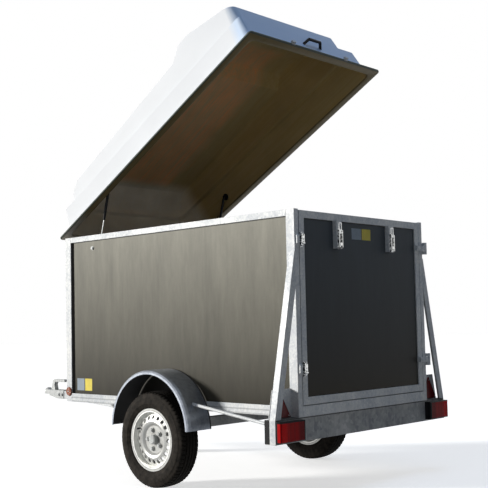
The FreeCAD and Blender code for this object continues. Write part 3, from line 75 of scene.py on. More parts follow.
def colour_property(name, description, default):
    return FloatVectorProperty(
        name=name, description=description, default=default, size=3, subtype="COLOR", min=0, max=1)


def length_property(name, description, default):
    return FloatProperty(
        name=name, description=description, default=default, min=0, unit="LENGTH", precision=4)


def level_property(name, description, default):
    return FloatProperty(name=name, description=description, default=default, min=0)


def count_property(name, description, default):
    return IntProperty(name=name, description=description, default=default, min=1, max=720)


class TrailerFinish(bpy.types.PropertyGroup):
    """Colours of the trailer's finishes."""
    zinc_light: colour_property("Zinc, light", "Light crystals of the galvanised frame", (0.83, 0.825, 0.8))
    zinc_dark: colour_property("Zinc, dark", "Dark crystals of the galvanised frame", (0.5, 0.53, 0.57))
    bright_light: colour_property("Fittings, light", "Light tone of the plated fittings", (0.7, 0.71, 0.7))
    bright_dark: colour_property("Fittings, dark", "Dark tone of the plated fittings", (0.3, 0.31, 0.31))
    polish: colour_property("Polished steel", "Catch levers, latches and the strut rods", (0.78, 0.79, 0.78))
    # Side and rear boards: the upper colours are paler as painted light and the lower colours darker as
    # painted shade.
    board_upper_lit: colour_property("Side board, pale", "Side wall's film, upper part", (0.36, 0.345, 0.285))
    board_lower_shaded: colour_property("Side board, deep", "Side wall's film, lower part", (0.038, 0.033, 0.022))
    rear_upper_lit: colour_property("Rear board, upper", "Rear door's film, upper part", (0.074, 0.089, 0.105))
    rear_lower_shaded: colour_property("Rear board, lower", "Rear door's film, lower part", (0.012, 0.0095, 0.005))
    lid_white: colour_property("Lid, outside", "Gloss outside of the lid", (0.84, 0.855, 0.88))
    # Lid, rear: painted shade and a painted sky reflection on the lid's rear wall.
    lid_shade: colour_property("Lid, rear", "Cooler rear wall of the lid", (0.66, 0.77, 0.93))
    lid_olive: colour_property("Lid, inside", "Raw inside of the lid", (0.62, 0.48, 0.225))
    lid_brown: colour_property("Lid, inside strip", "Reddish strip along the raw inside", (1, 0.56, 0.28))
    lid_grey: colour_property("Lid, inside front", "Greyer front of the raw inside", (0.95, 0.88, 0.76))
    lid_edge: colour_property("Lid, cut edge", "Cut edge of the lid's rim", (0.1, 0.115, 0.095))
    rubber: colour_property("Rubber", "Tyres", (0.005, 0.0047, 0.004))
    rubber_dust: colour_property("Rubber dust", "Dust on the tyre walls", (0.06, 0.05, 0.041))
    wheel_silver: colour_property("Wheel silver", "Paint on the pressed wheels", (0.5, 0.5, 0.48))
    # Wheel grime: grime, and also painted shade in a thin ring inside the wheel's lip.
    wheel_grime_and_shade: colour_property("Wheel grime", "Grime in the pressed wheels", (0.12, 0.11, 0.1))
    guard_light: colour_property("Mudguard, light", "Light tone of the mudguards", (0.42, 0.45, 0.5))
    guard_dark: colour_property("Mudguard, dark", "Dark tone of the mudguards", (0.22, 0.24, 0.28))
    lamp_red: colour_property("Lamp red", "Rear lamp lenses", (0.95, 0.012, 0.014))
    lamp_deep: colour_property("Lamp, deep", "Middle of the rear lamp lenses", (0.2, 0.004, 0.005))
    reflector_red: colour_property("Reflector red", "Triangular reflectors", (0.22, 0.008, 0.01))
    marker_amber: colour_property("Marker amber", "Round side reflectors", (0.36, 0.11, 0.05))
    black: colour_property("Black", "Black plastic and black paint", (0.014, 0.014, 0.015))
    sticker_pale: colour_property("Sticker, pale", "Pale half of the blank stickers", (0.36, 0.42, 0.48))
    sticker_yellow: colour_property(
        "Sticker, yellow", "Yellow half of the blank stickers", (0.93, 0.76, 0.14))


class TyreTread(bpy.types.PropertyGroup):
    """The tread cut into each road tyre."""
    groove_depth: length_property("Groove depth", "Depth of the tread grooves", 0.007)
    groove_width: length_property("Groove width", "Width of the four ring grooves", 0.0065)
    crown: length_property("Crown", "Fall of the tread from its middle to its edge", 0.0045)
    notch_count: count_property("Notches", "Cross notches round each shoulder", 66)


class LidMoulding(bpy.types.PropertyGroup):
    """The moulded lid's softened edges."""
    edge: length_property("Edge", "Radius of the moulding's edges", 0.0035)
    edge_steps: count_property("Edge steps", "Facets round each edge", 3)
    rim_band: length_property("Rim band", "Height of the bare edge round the rim", 0.0115)
    draft: level_property("Draft", "Slope of the moulded walls", 0.08)


class Fasteners(bpy.types.PropertyGroup):
    """Bolts, screws and rivets."""
    wheel_bolt_ring: length_property("Wheel bolt ring", "Radius of the ring of wheel bolts", 0.056)
    wheel_bolts: count_property("Wheel bolts", "Number of wheel bolts", 5)
    wheel_bolt_radius: length_property("Wheel bolt", "Radius of a wheel bolt's head", 0.0105)
    cap_height: length_property("Cap height", "Grease cap's height over the wheel's disc", 0.0255)
    cap_lip: length_property("Cap lip", "Radius of the grease cap's lip", 0.0305)
    seat_height: length_property("Seat height", "Height of the seats under the wheel bolts", 0.004)
    axle_bolt_radius: length_property("Axle bolt", "Radius of an axle bolt's head", 0.0085)
    coupling_bolt_radius: length_property("Coupling bolt", "Radius of a coupling bolt's head", 0.0095)
    screw_radius: length_property("Reflector screw", "Radius of a reflector screw's head", 0.0042)
    marker_screw_radius: length_property("Marker screw", "Radius of a side marker's screw head", 0.0050)
    frame_bolt_radius: length_property("Frame bolt", "Radius of a frame bolt's head", 0.0075)


class Trims(bpy.types.PropertyGroup):
    """Black strips at the walls' front ends, and black blocks in the lamp bar's ends as painted shade."""
    # A black strip at each wall's front end.
    strip_width: length_property("Seal width", "Width of the seal at a wall's front end", 0.030)
    strip_rise: length_property("Seal rise", "Seal's thickness over the wall's face", 0.0015)
    bar_sheet: length_property("Bar sheet", "Sheet of the lamp bar", 0.004)
    triangle_side: length_property("Triangle side", "Side of the triangular reflectors", 0.150)
    # Black blocks in the lamp bar's open ends: painted shade for the channel's dark inside.
    end_shade_depth: length_property("Cap depth", "Depth of the lamp bar's end caps", 0.010)


class StudioSettings(bpy.types.PropertyGroup):
    """Camera and lights."""
    camera_place: FloatVectorProperty(
        name="Camera place", description="Where the camera stands", size=3, subtype="TRANSLATION",
        default=(-4.7286, 4.2532, 0.9403))
    camera_heading: FloatProperty(
        name="Heading", description="Camera heading from +X", subtype="ANGLE", default=math.radians(-46.6723))
    camera_pitch: FloatProperty(
        name="Pitch", description="Camera pitch above level", subtype="ANGLE", default=math.radians(3.5834))
    camera_roll: FloatProperty(
        name="Roll", description="Camera roll", subtype="ANGLE", default=math.radians(-1.2772))
    lens: FloatProperty(
        name="Lens", description="Focal length in millimetres", default=68.28, min=10, max=300)
    shift_across: FloatProperty(name="Shift across", description="Framing shift across", default=-0.0229)
    shift_up: FloatProperty(name="Shift up", description="Framing shift up", default=0.0424)
    key_strength: level_property("Key", "Strength of the key light", 3.85)
    key_softness: FloatProperty(
        name="Key softness", description="Angle that the key light fills",
        subtype="ANGLE", default=math.radians(9))
    key_way: FloatVectorProperty(
        name="Key direction", description="Way to the key light", size=3, subtype="DIRECTION",
        default=(0.70, 0.66, 0.27))
    top_power: FloatProperty(
        name="Top", description="Power of the top lamp", default=52, min=0, unit="POWER")
    sky_level: level_property("Sky", "Level of the plain surround", 0.078)
    floor_lift: level_property("Floor lift", "Brightening of the floor as seen", 0.62)
    floor_bounce: level_property("Floor bounce", "Paleness of the floor as a reflector", 0.27)


# Shader helpers.
FLOAT = "NodeSocketFloat"
COLOUR = "NodeSocketColor"
VECTOR = "NodeSocketVector"


def new_group(name, inputs, outputs):
    """A node group with named sockets: (name, kind, default)."""
    tree = bpy.data.node_groups.new(name, "ShaderNodeTree")
    for label, kind, default in inputs:
        socket = tree.interface.new_socket(name=label, in_out="INPUT", socket_type=kind)
        socket.default_value = default
    for label, kind in outputs:
        tree.interface.new_socket(name=label, in_out="OUTPUT", socket_type=kind)
    return tree, tree.nodes.new("NodeGroupInput"), tree.nodes.new("NodeGroupOutput")


def node(tree, kind, links=(), **settings):
    """A node with its settings; links are (input, source socket or value)."""
    made = tree.nodes.new(kind)
    for key, value in settings.items():
        setattr(made, key, value)
    for where, source in links:
        if isinstance(source, bpy.types.NodeSocket):
            tree.links.new(source, made.inputs[where])
        else:
            made.inputs[where].default_value = source
    return made


def maths(tree, operation, first, second=0.0):
    return node(tree, "ShaderNodeMath", [(0, first), (1, second)], operation=operation).outputs[0]


def times(tree, first, second):
    return maths(tree, "MULTIPLY", first, second)


def added(tree, first, second):
    return maths(tree, "ADD", first, second)


def inverse(tree, mask):
    return maths(tree, "SUBTRACT", 1.0, mask)


def larger(tree, first, *others):
    """The largest of some masks."""
    for other in others:
        first = maths(tree, "MAXIMUM", first, other)
    return first


def vector(tree, operation, first, second=(0, 0, 0), output=0):
    return node(tree, "ShaderNodeVectorMath", [(0, first), (1, second)], operation=operation).outputs[output]


def ramp(tree, source, low, high, kind="LINEAR"):
    """A mask that rises from 0 at low to 1 at high."""
    return node(
        tree, "ShaderNodeMapRange", [("Value", source), ("From Min", low), ("From Max", high)],
        interpolation_type=kind).outputs["Result"]


def band(tree, source, low, high, soft):
    """A mask that is 1 between low and high."""
    rise = ramp(tree, source, low - soft, low, "SMOOTHSTEP")
    fall = ramp(tree, source, high + soft, high, "SMOOTHSTEP")
    return times(tree, rise, fall)


def mixed(tree, mask, first, second, blend="MIX"):
    made = node(tree, "ShaderNodeMix", data_type="RGBA", blend_type=blend)
    for socket, value in ((made.inputs[0], mask), (made.inputs[6], first), (made.inputs[7], second)):
        if isinstance(value, bpy.types.NodeSocket):
            tree.links.new(value, socket)
        else:
            socket.default_value = value
    return made.outputs[2]


def rgba(colour):
    return (*colour, 1.0)


def toned(colour, share):
    """A plain colour times a share."""
    return rgba([value * share for value in colour])


def place_of(tree):
    return node(tree, "ShaderNodeTexCoord").outputs["Object"]


def stretched(tree, source, scale):
    """Coordinates scaled per axis, to draw a pattern out along one of them."""
    return node(tree, "ShaderNodeMapping", [("Vector", source), ("Scale", scale)]).outputs[0]


def noise(tree, source, scale, detail=4.0, rough=0.55):
    return node(
        tree, "ShaderNodeTexNoise",
        [("Vector", source), ("Scale", scale), ("Detail", detail), ("Roughness", rough)]).outputs["Fac"]


def axes(tree, source):
    return node(tree, "ShaderNodeSeparateXYZ", [(0, source)]).outputs


def off_middle(tree):
    """Distance from the trailer's middle plane."""
    return maths(tree, "ABSOLUTE", axes(tree, place_of(tree))["Y"])


def flat_from(tree, centre):
    """The way from a line along Y through a point, square to it."""
    shifted = vector(tree, "SUBTRACT", place_of(tree), (centre.x, 0, centre.z))
    return vector(tree, "MULTIPLY", shifted, (1, 0, 1))


def reach_from(tree, centre):
    """Distance from a line along Y through a point."""
    return vector(tree, "LENGTH", flat_from(tree, centre), output="Value")


def between(tree, mask, first, last):
    """A value that runs from first to last as the mask rises."""
    return node(tree, "ShaderNodeMapRange", [("Value", mask), ("To Min", first), ("To Max", last)]).outputs[0]


def spangle_group():
    """Zinc crystals: cells of different grey with a slow cloudiness over them."""
    tree, inner, outer = new_group(
        "Zinc spangle",
        [("Light", COLOUR, (0.5, 0.5, 0.5, 1)), ("Dark", COLOUR, (0.2, 0.2, 0.2, 1)), ("Cell", FLOAT, 90.0)],
        [("Colour", COLOUR), ("Roughness", FLOAT), ("Height", FLOAT)])
    place = place_of(tree)
    warp = node(tree, "ShaderNodeTexNoise", [("Vector", place), ("Scale", 30.0), ("Detail", 3.0)])
    bent = node(
        tree, "ShaderNodeVectorMath",
        [(0, warp.outputs["Color"]), (1, (0.02, 0.02, 0.02)), (2, place)], operation="MULTIPLY_ADD")
    cells = node(
        tree, "ShaderNodeTexVoronoi", [("Vector", bent.outputs[0]), ("Scale", inner.outputs["Cell"])])
    shade = times(tree, cells.outputs["Color"], 0.34)
    cloud = noise(tree, place, 6.0, 6.0)
    runs = noise(tree, stretched(tree, place, (1.0, 1.0, 0.12)), 60.0, 3.0)
    total = added(tree, shade, times(tree, cloud, 0.8))
    total = added(tree, total, times(tree, runs, 0.3))
    mask = ramp(tree, total, 0.42, 1.02)
    tree.links.new(mixed(tree, mask, inner.outputs["Dark"], inner.outputs["Light"]), outer.inputs["Colour"])
    tree.links.new(between(tree, mask, 0.62, 0.44), outer.inputs["Roughness"])
    tree.links.new(total, outer.inputs["Height"])
    return tree


def streaked_group():
    """Fine streaks drawn out along one axis, with slow patches under them."""
    tree, inner, outer = new_group(
        "Streaks", [("Stretch", VECTOR, (1.0, 1.0, 0.05)), ("Scale", FLOAT, 80.0)], [("Mask", FLOAT)])
    place = place_of(tree)
    drawn = vector(tree, "MULTIPLY", place, inner.outputs["Stretch"])
    fine = noise(tree, drawn, inner.outputs["Scale"], 5.0, 0.6)
    slow = noise(tree, place, 2.2, 3.0)
    total = added(tree, times(tree, fine, 0.65), times(tree, slow, 0.35))
    tree.links.new(ramp(tree, total, 0.3, 0.7), outer.inputs["Mask"])
    return tree


def grime_group():
    """Dirt that gathers low down and in slow patches."""
    tree, inner, outer = new_group("Grime", [("Top", FLOAT, 0.9), ("Amount", FLOAT, 0.5)], [("Mask", FLOAT)])
    place = place_of(tree)
    height = axes(tree, place)["Z"]
    low = ramp(tree, height, inner.outputs["Top"], 0.0)
    patches = ramp(tree, noise(tree, place, 9.0, 6.0), 0.35, 0.75)
    total = times(tree, times(tree, low, patches), inner.outputs["Amount"])
    tree.links.new(total, outer.inputs["Mask"])
    return tree


def use_group(tree, name, **values):
    made = node(tree, "ShaderNodeGroup", node_tree=bpy.data.node_groups[name])
    for key, value in values.items():
        made.inputs[key].default_value = value
    return made.outputs


def material(name, roughness=0.5, metallic=0.0, gloss=0.5):
    """A material with its tree and main shader."""
    made = bpy.data.materials.new(name)
    made.use_nodes = True
    shader = made.node_tree.nodes["Principled BSDF"]
    shader.inputs["Roughness"].default_value = roughness
    shader.inputs["Metallic"].default_value = metallic
    shader.inputs["Specular IOR Level"].default_value = gloss
    return made, made.node_tree, shader


def coat(tree, shader, colour):
    """Links a colour to the main shader."""
    tree.links.new(colour, shader.inputs["Base Color"])


def bumped(tree, shader, height, distance, strength=1.0):
    bump = node(tree, "ShaderNodeBump", [("Height", height), ("Distance", distance), ("Strength", strength)])
    tree.links.new(bump.outputs[0], shader.inputs["Normal"])


def zinc_material(name, light, dark, cell, metallic, grime=0.35):
    """Spangled or plated zinc with a little road dirt low down."""
    made, tree, shader = material(name, metallic=metallic, gloss=0.15)
    spangle = use_group(tree, "Zinc spangle", Light=rgba(light), Dark=rgba(dark), Cell=cell)
    dirt = use_group(tree, "Grime", Top=0.75, Amount=grime)["Mask"]
    colour = mixed(tree, dirt, spangle["Colour"], (0.10, 0.088, 0.07, 1))
    coat(tree, shader, colour)
    tree.links.new(spangle["Roughness"], shader.inputs["Roughness"])
    bumped(tree, shader, spangle["Height"], 0.0004)
    return made


def shade_lined_material(name, light, dark, cell, node_name, shade_lines):
    """Zinc with painted shade in dark level lines: (share of the height, width, strength, on the sides only).
    """
    made = zinc_material(name, light, dark, cell, 0.08)
    tree = made.node_tree
    socket = tree.nodes["Principled BSDF"].inputs["Base Color"]
    colour = socket.links[0].from_socket
    low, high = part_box(node_name)
    height = axes(tree, place_of(tree))["Z"]
    side = ramp(tree, off_middle(tree), high.y - 0.003, high.y - 0.001)
    for share, width, strength, side_only in shade_lines:
        level = low.z + (high.z - low.z) * share
        line = band(tree, height, level - width / 2, level + width / 2, width / 2)
        if side_only:
            line = times(tree, line, side)
        colour = mixed(tree, times(tree, line, strength), colour, (0.03, 0.03, 0.028, 1))
    tree.links.new(colour, socket)
    return made


def plain_material(name, colour, roughness, metallic=0.0, gloss=0.12):
    """One colour, slightly uneven."""
    made, tree, shader = material(name, roughness, metallic, gloss)
    patches = ramp(tree, noise(tree, place_of(tree), 25.0), 0.3, 0.7)
    coat(tree, shader, mixed(tree, patches, toned(colour, 0.85), rgba(colour)))
    return made


def worked_material(finish):
    """Plated fittings with near-black patches."""
    made, tree, shader = material("Worked fittings", 0.3, 0.7, 0.4)
    dark_patches = ramp(tree, noise(tree, place_of(tree), 95.0, 2.0, 0.4), 0.44, 0.54)
    coat(tree, shader, mixed(tree, dark_patches, (0.03, 0.03, 0.032, 1), rgba(finish.polish)))
    bumped(tree, shader, dark_patches, 0.0006, 0.6)
    return made


def board_material(name, upper, lower, low, high, roughness, gloss, contrast):
    """Film-faced plywood: upright streaks, paler towards the top as painted light, with painted shade along
    its borders.
    """
    made, tree, shader = material(name, roughness, gloss=gloss)
    place = place_of(tree)
    streaks = use_group(tree, "Streaks", Stretch=(1.0, 1.0, 0.03), Scale=70.0)["Mask"]
    broad = ramp(tree, noise(tree, stretched(tree, place, (1.0, 1.0, 0.2)), 11.0, 6.0, 0.7), 0.32, 0.68)
    # Paler towards the top: painted light over the film's colour.
    height = ramp(tree, axes(tree, place)["Z"], low.z, high.z)
    colour = mixed(tree, height, rgba(lower), rgba(upper))
    shade = mixed(tree, times(tree, streaks, 0.2), colour, (0.35, 0.34, 0.31, 1), "SOFT_LIGHT")
    dark = mixed(tree, times(tree, inverse(tree, streaks), 0.17), shade, rgba(lower))
    dull = mixed(tree, times(tree, broad, contrast), dark, (0.0, 0.0, 0.0, 1))
    weave = noise(tree, stretched(tree, place, (1.0, 1.0, 9.0)), 60.0, 3.0)
    dull = mixed(tree, times(tree, weave, contrast * 0.5), dull, (0.0, 0.0, 0.0, 1))
    # Painted shade: dark lines along the top edge, one end and the wheel arch's cut edge.
    top = ramp(tree, axes(tree, place)["Z"], high.z - 0.007, high.z - 0.004)
    across = "x" if high.x - low.x > high.y - low.y else "y"
    end = getattr(low, across)
    last = ramp(tree, axes(tree, place)[across.upper()], end + 0.006, end + 0.003)
    guard_low, guard_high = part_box("mudguards")
    guard_radius = (guard_high.x - guard_low.x) / 2
    arch = Vector((guard_low.x + guard_radius, 0, guard_high.z - guard_radius))
    cut = ramp(tree, reach_from(tree, arch), guard_radius - 0.001, guard_radius - 0.003)
    line = times(tree, larger(tree, top, last, cut), 0.85)
    coat(tree, shader, mixed(tree, line, dull, (0.012, 0.011, 0.009, 1)))
    bumped(tree, shader, streaks, 0.0002, 0.6)
    return made


def scaled(tree, colour, share):
    """A colour times a plain share."""
    return node(tree, "ShaderNodeVectorMath", [(0, colour), ("Scale", share)], operation="SCALE").outputs[0]


def lid_place(tree):
    """Place on the closed lid, measured from the hinge line."""
    shifted = vector(tree, "SUBTRACT", place_of(tree), LID_AXIS)
    return node(
        tree, "ShaderNodeVectorRotate", [("Vector", shifted), ("Angle", LID_ANGLE)],
        rotation_type="Y_AXIS").outputs[0]


def lid_limits():
    """The closed lid's rim height, half width and rear end, measured from the hinge line."""
    corners = [LID_TURN @ (vert.co - LID_AXIS) for vert in NODES["lid_shell"].data.vertices]
    return min(v.z for v in corners), max(v.y for v in corners), min(v.x for v in corners)


def lid_inside_material(finish):
    """Raw moulded inside: streaks along the lid, a reddish strip and a greyer front."""
    made, tree, shader = material("Lid inside", 0.45, gloss=0.2)
    local = lid_place(tree)
    along = axes(tree, local)["X"]
    across = maths(tree, "ABSOLUTE", axes(tree, local)["Y"])
    wobble = times(tree, maths(tree, "SUBTRACT", noise(tree, local, 5.0), 0.5), 0.12)
    edge = added(tree, across, wobble)
    strip = maths(
        tree, "MULTIPLY", ramp(tree, edge, 0.36, 0.22, "SMOOTHSTEP"), band(tree, along, -1.62, -0.30, 0.07))
    streaks = ramp(tree, noise(tree, stretched(tree, local, (0.06, 1.0, 1.0)), 42.0, 6.0, 0.65), 0.35, 0.68)
    strip = times(tree, strip, added(tree, times(tree, streaks, 0.75), 0.35))
    colour = mixed(tree, strip, rgba(finish.lid_olive), rgba(finish.lid_brown))
    front = ramp(tree, along, -0.34, -0.20, "SMOOTHSTEP")
    colour = mixed(tree, front, colour, rgba(finish.lid_grey))
    colour = mixed(tree, times(tree, streaks, 0.5), colour, (0.26, 0.22, 0.15, 1), "SOFT_LIGHT")
    patches = ramp(tree, noise(tree, local, 3.5, 5.0), 0.35, 0.7)
    colour = mixed(tree, times(tree, patches, 0.3), colour, toned(finish.lid_olive, 0.55))
    rim, side, rear = lid_limits()
    flange = ramp(tree, axes(tree, local)["Z"], rim + 0.012, rim + 0.008)
    colour = mixed(tree, times(tree, flange, 0.6), colour, (0.02, 0.018, 0.010, 1))
    outer = maths(
        tree, "MAXIMUM", ramp(tree, across, side - 0.009, side - 0.007),
        ramp(tree, along, rear + 0.011, rear + 0.009))
    colour = mixed(tree, times(tree, outer, flange), colour, rgba(finish.lid_edge))
    coat(tree, shader, colour)
    bumped(tree, shader, streaks, 0.0005, 0.5)
    return made


def lid_outside_material(finish):
    """White gelcoat with a faint unevenness; the rear wall is painted blue as painted shade and sky
    reflection.
    """
    made, tree, shader = material("Lid outside", 0.25, gloss=0.01)
    patches = ramp(tree, noise(tree, place_of(tree), 2.0), 0.3, 0.7)
    rear = lid_limits()[2]
    # Painted shade: the rear wall turns to the cooler lid_shade colour.
    wall = ramp(tree, axes(tree, lid_place(tree))["X"], rear + 0.17, rear + 0.11)
    white = mixed(tree, wall, rgba(finish.lid_white), rgba(finish.lid_shade))
    coat(tree, shader, mixed(tree, patches, scaled(tree, white, 0.95), white))
    return made


def tyre_material(finish, centre):
    """Dusty rubber; the walls are dustier than the tread's grooves."""
    made, tree, shader = material("Tyre rubber", 0.75, gloss=0.08)
    place = place_of(tree)
    reach = reach_from(tree, centre)
    wall = band(tree, reach, 0.186, 0.262, 0.012)
    dust = ramp(tree, noise(tree, place, 30.0, 8.0, 0.65), 0.3, 0.75)
    amount = times(tree, added(tree, times(tree, wall, 0.55), 0.18), dust)
    colour = mixed(tree, amount, rgba(finish.rubber), rgba(finish.rubber_dust))
    coat(tree, shader, colour)
    rings = maths(tree, "SINE", times(tree, reach, 900.0))
    height = added(tree, times(tree, rings, 0.25), dust)
    bumped(tree, shader, height, 0.0006, 0.7)
    return made


def wheel_material(finish, centre):
    """Silver paint, darker in the dish, brake dust round the middle, painted shade inside the lip, painted
    light on the barrel.
    """
    made, tree, shader = material("Wheel paint", 0.36, 0.45, 0.3)
    place = place_of(tree)
    reach = reach_from(tree, centre)
    radius = (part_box("rim_left")[1].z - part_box("rim_left")[0].z) / 2
    trough = times(tree, band(tree, reach, radius * 0.72, radius * 0.84, radius * 0.05), 0.4)
    seat = times(tree, band(tree, reach, 0.0, radius * 0.46, radius * 0.04), 0.45)
    centre_gap = band(tree, reach, radius * 0.17, radius * 0.235, radius * 0.015)
    # Painted shade: a thin dark ring inside the lip.
    lip = band(tree, reach, radius * 0.925, radius * 0.95, radius * 0.012)
    low = larger(tree, trough, seat, centre_gap, lip)
    # Painted light: the barrel is painted paler.
    barrel_lit = band(tree, reach, radius * 0.70, radius * 0.91, radius * 0.02)
    dirt = ramp(tree, noise(tree, place, 38.0, 8.0, 0.7), 0.32, 0.68)
    mask = times(tree, added(tree, times(tree, low, 0.6), 0.15), dirt)
    silver = mixed(tree, barrel_lit, rgba(finish.wheel_silver), toned(finish.wheel_silver, 1.8))
    colour = mixed(tree, mask, silver, rgba(finish.wheel_grime_and_shade))
    coat(tree, shader, colour)
    bumped(tree, shader, dirt, 0.0002, 0.5)
    return made


def guard_material(finish):
    """Bright sheet steel on top, black towards the wheel, and a black band by the wall as painted shade."""
    made, tree, shader = material("Mudguard steel", metallic=0.75, gloss=0.5)
    wall_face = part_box("side_panel_left")[1].y
    hub = sum(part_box("hub_left"), Vector()) / 2
    spangle = use_group(
        tree, "Zinc spangle", Light=rgba(finish.guard_light), Dark=rgba(finish.guard_dark), Cell=60.0)
    normal = node(tree, "ShaderNodeNewGeometry").outputs["Normal"]
    facing = vector(tree, "DOT_PRODUCT", flat_from(tree, hub), normal, "Value")
    under = ramp(tree, facing, -0.02, -0.08)
    # Painted shade: a black band on the guard next to the wall.
    wall = ramp(tree, off_middle(tree), wall_face + 0.018, wall_face + 0.014)
    under = larger(tree, under, wall)
    coat(tree, shader, mixed(tree, under, spangle["Colour"], rgba(finish.black)))
    tree.links.new(times(tree, inverse(tree, under), 0.75), shader.inputs["Metallic"])
    tree.links.new(between(tree, under, 0.33, 0.8), shader.inputs["Roughness"])
    bumped(tree, shader, spangle["Height"], 0.0002)
    return made


def ribs(tree, axis, scale):
    """Even ribs across one axis."""
    return node(
        tree, "ShaderNodeTexWave", [("Vector", place_of(tree)), ("Scale", scale), ("Distortion", 0.0)],
        wave_type="BANDS", bands_direction=axis).outputs["Fac"]


def lens_material(finish):
    """Red lens: bright ends, a painted glow in a band inside them, a darker ribbed middle and fine prisms."""
    made, tree, shader = material("Lamp lens", 0.3, gloss=0.05)
    low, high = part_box("lamp_lenses")
    across = off_middle(tree)
    height = axes(tree, place_of(tree))["Z"]
    bright = ramp(tree, across, high.y - 0.095, high.y - 0.030, "SMOOTHSTEP")
    # Painted light: a softer glow band inside the bright ends.
    glow = band(tree, across, high.y - 0.125, high.y - 0.085, 0.03)
    bright = larger(tree, bright, times(tree, glow, 0.35))
    rim = ramp(tree, across, high.y - 0.181, high.y - 0.183)
    for end, way in ((high.z, -1), (low.z, 1)):
        rim = larger(tree, rim, ramp(tree, height, end + way * 0.0065, end + way * 0.0045))
    for inset in (0.055, 0.107):
        rim = larger(tree, rim, band(tree, across, high.y - inset, high.y - inset + 0.001, 0.0008))
    grid = times(tree, ribs(tree, "Y", 95.0), ribs(tree, "Z", 60.0))
    colour = mixed(tree, bright, rgba(finish.lamp_deep), rgba(finish.lamp_red))
    end = ramp(tree, across, high.y - 0.012, high.y - 0.004)
    colour = mixed(tree, times(tree, end, 0.75), colour, rgba(finish.lamp_deep))
    colour = mixed(tree, times(tree, grid, 0.35), colour, (0.75, 0.05, 0.05, 1), "SOFT_LIGHT")
    colour = mixed(tree, rim, colour, rgba(finish.black))
    coat(tree, shader, colour)
    bumped(tree, shader, grid, 0.0008, 0.5)
    return made


def reflector_material(name, colour, scale):
    """Moulded reflector with a fine honeycomb under a clear face."""
    made, tree, shader = material(name, 0.25, gloss=0.2)
    cells = node(
        tree, "ShaderNodeTexVoronoi", [("Vector", place_of(tree)), ("Scale", scale)],
        feature="DISTANCE_TO_EDGE").outputs["Distance"]
    mask = ramp(tree, cells, 0.0, 0.12)
    coat(tree, shader, mixed(tree, mask, toned(colour, 0.45), rgba(colour)))
    bumped(tree, shader, mask, 0.0005, 0.5)
    return made


def give(made, *names):
    """Gives nodes one material."""
    for name in names:
        mesh = NODES[name].data
        mesh.materials.clear()
        mesh.materials.append(made)


def soften(name, width):
    """Rounds a flat-sided node's edges with live modifiers."""
    weld = NODES[name].modifiers.new("Weld", "WELD")
    weld.merge_threshold = 0.00002
    bevel = NODES[name].modifiers.new("Bevel", "BEVEL")
    bevel.width = width
    bevel.segments = 2
    bevel.limit_method = "ANGLE"
    bevel.angle_limit = math.radians(50)


MATERIALS = {}


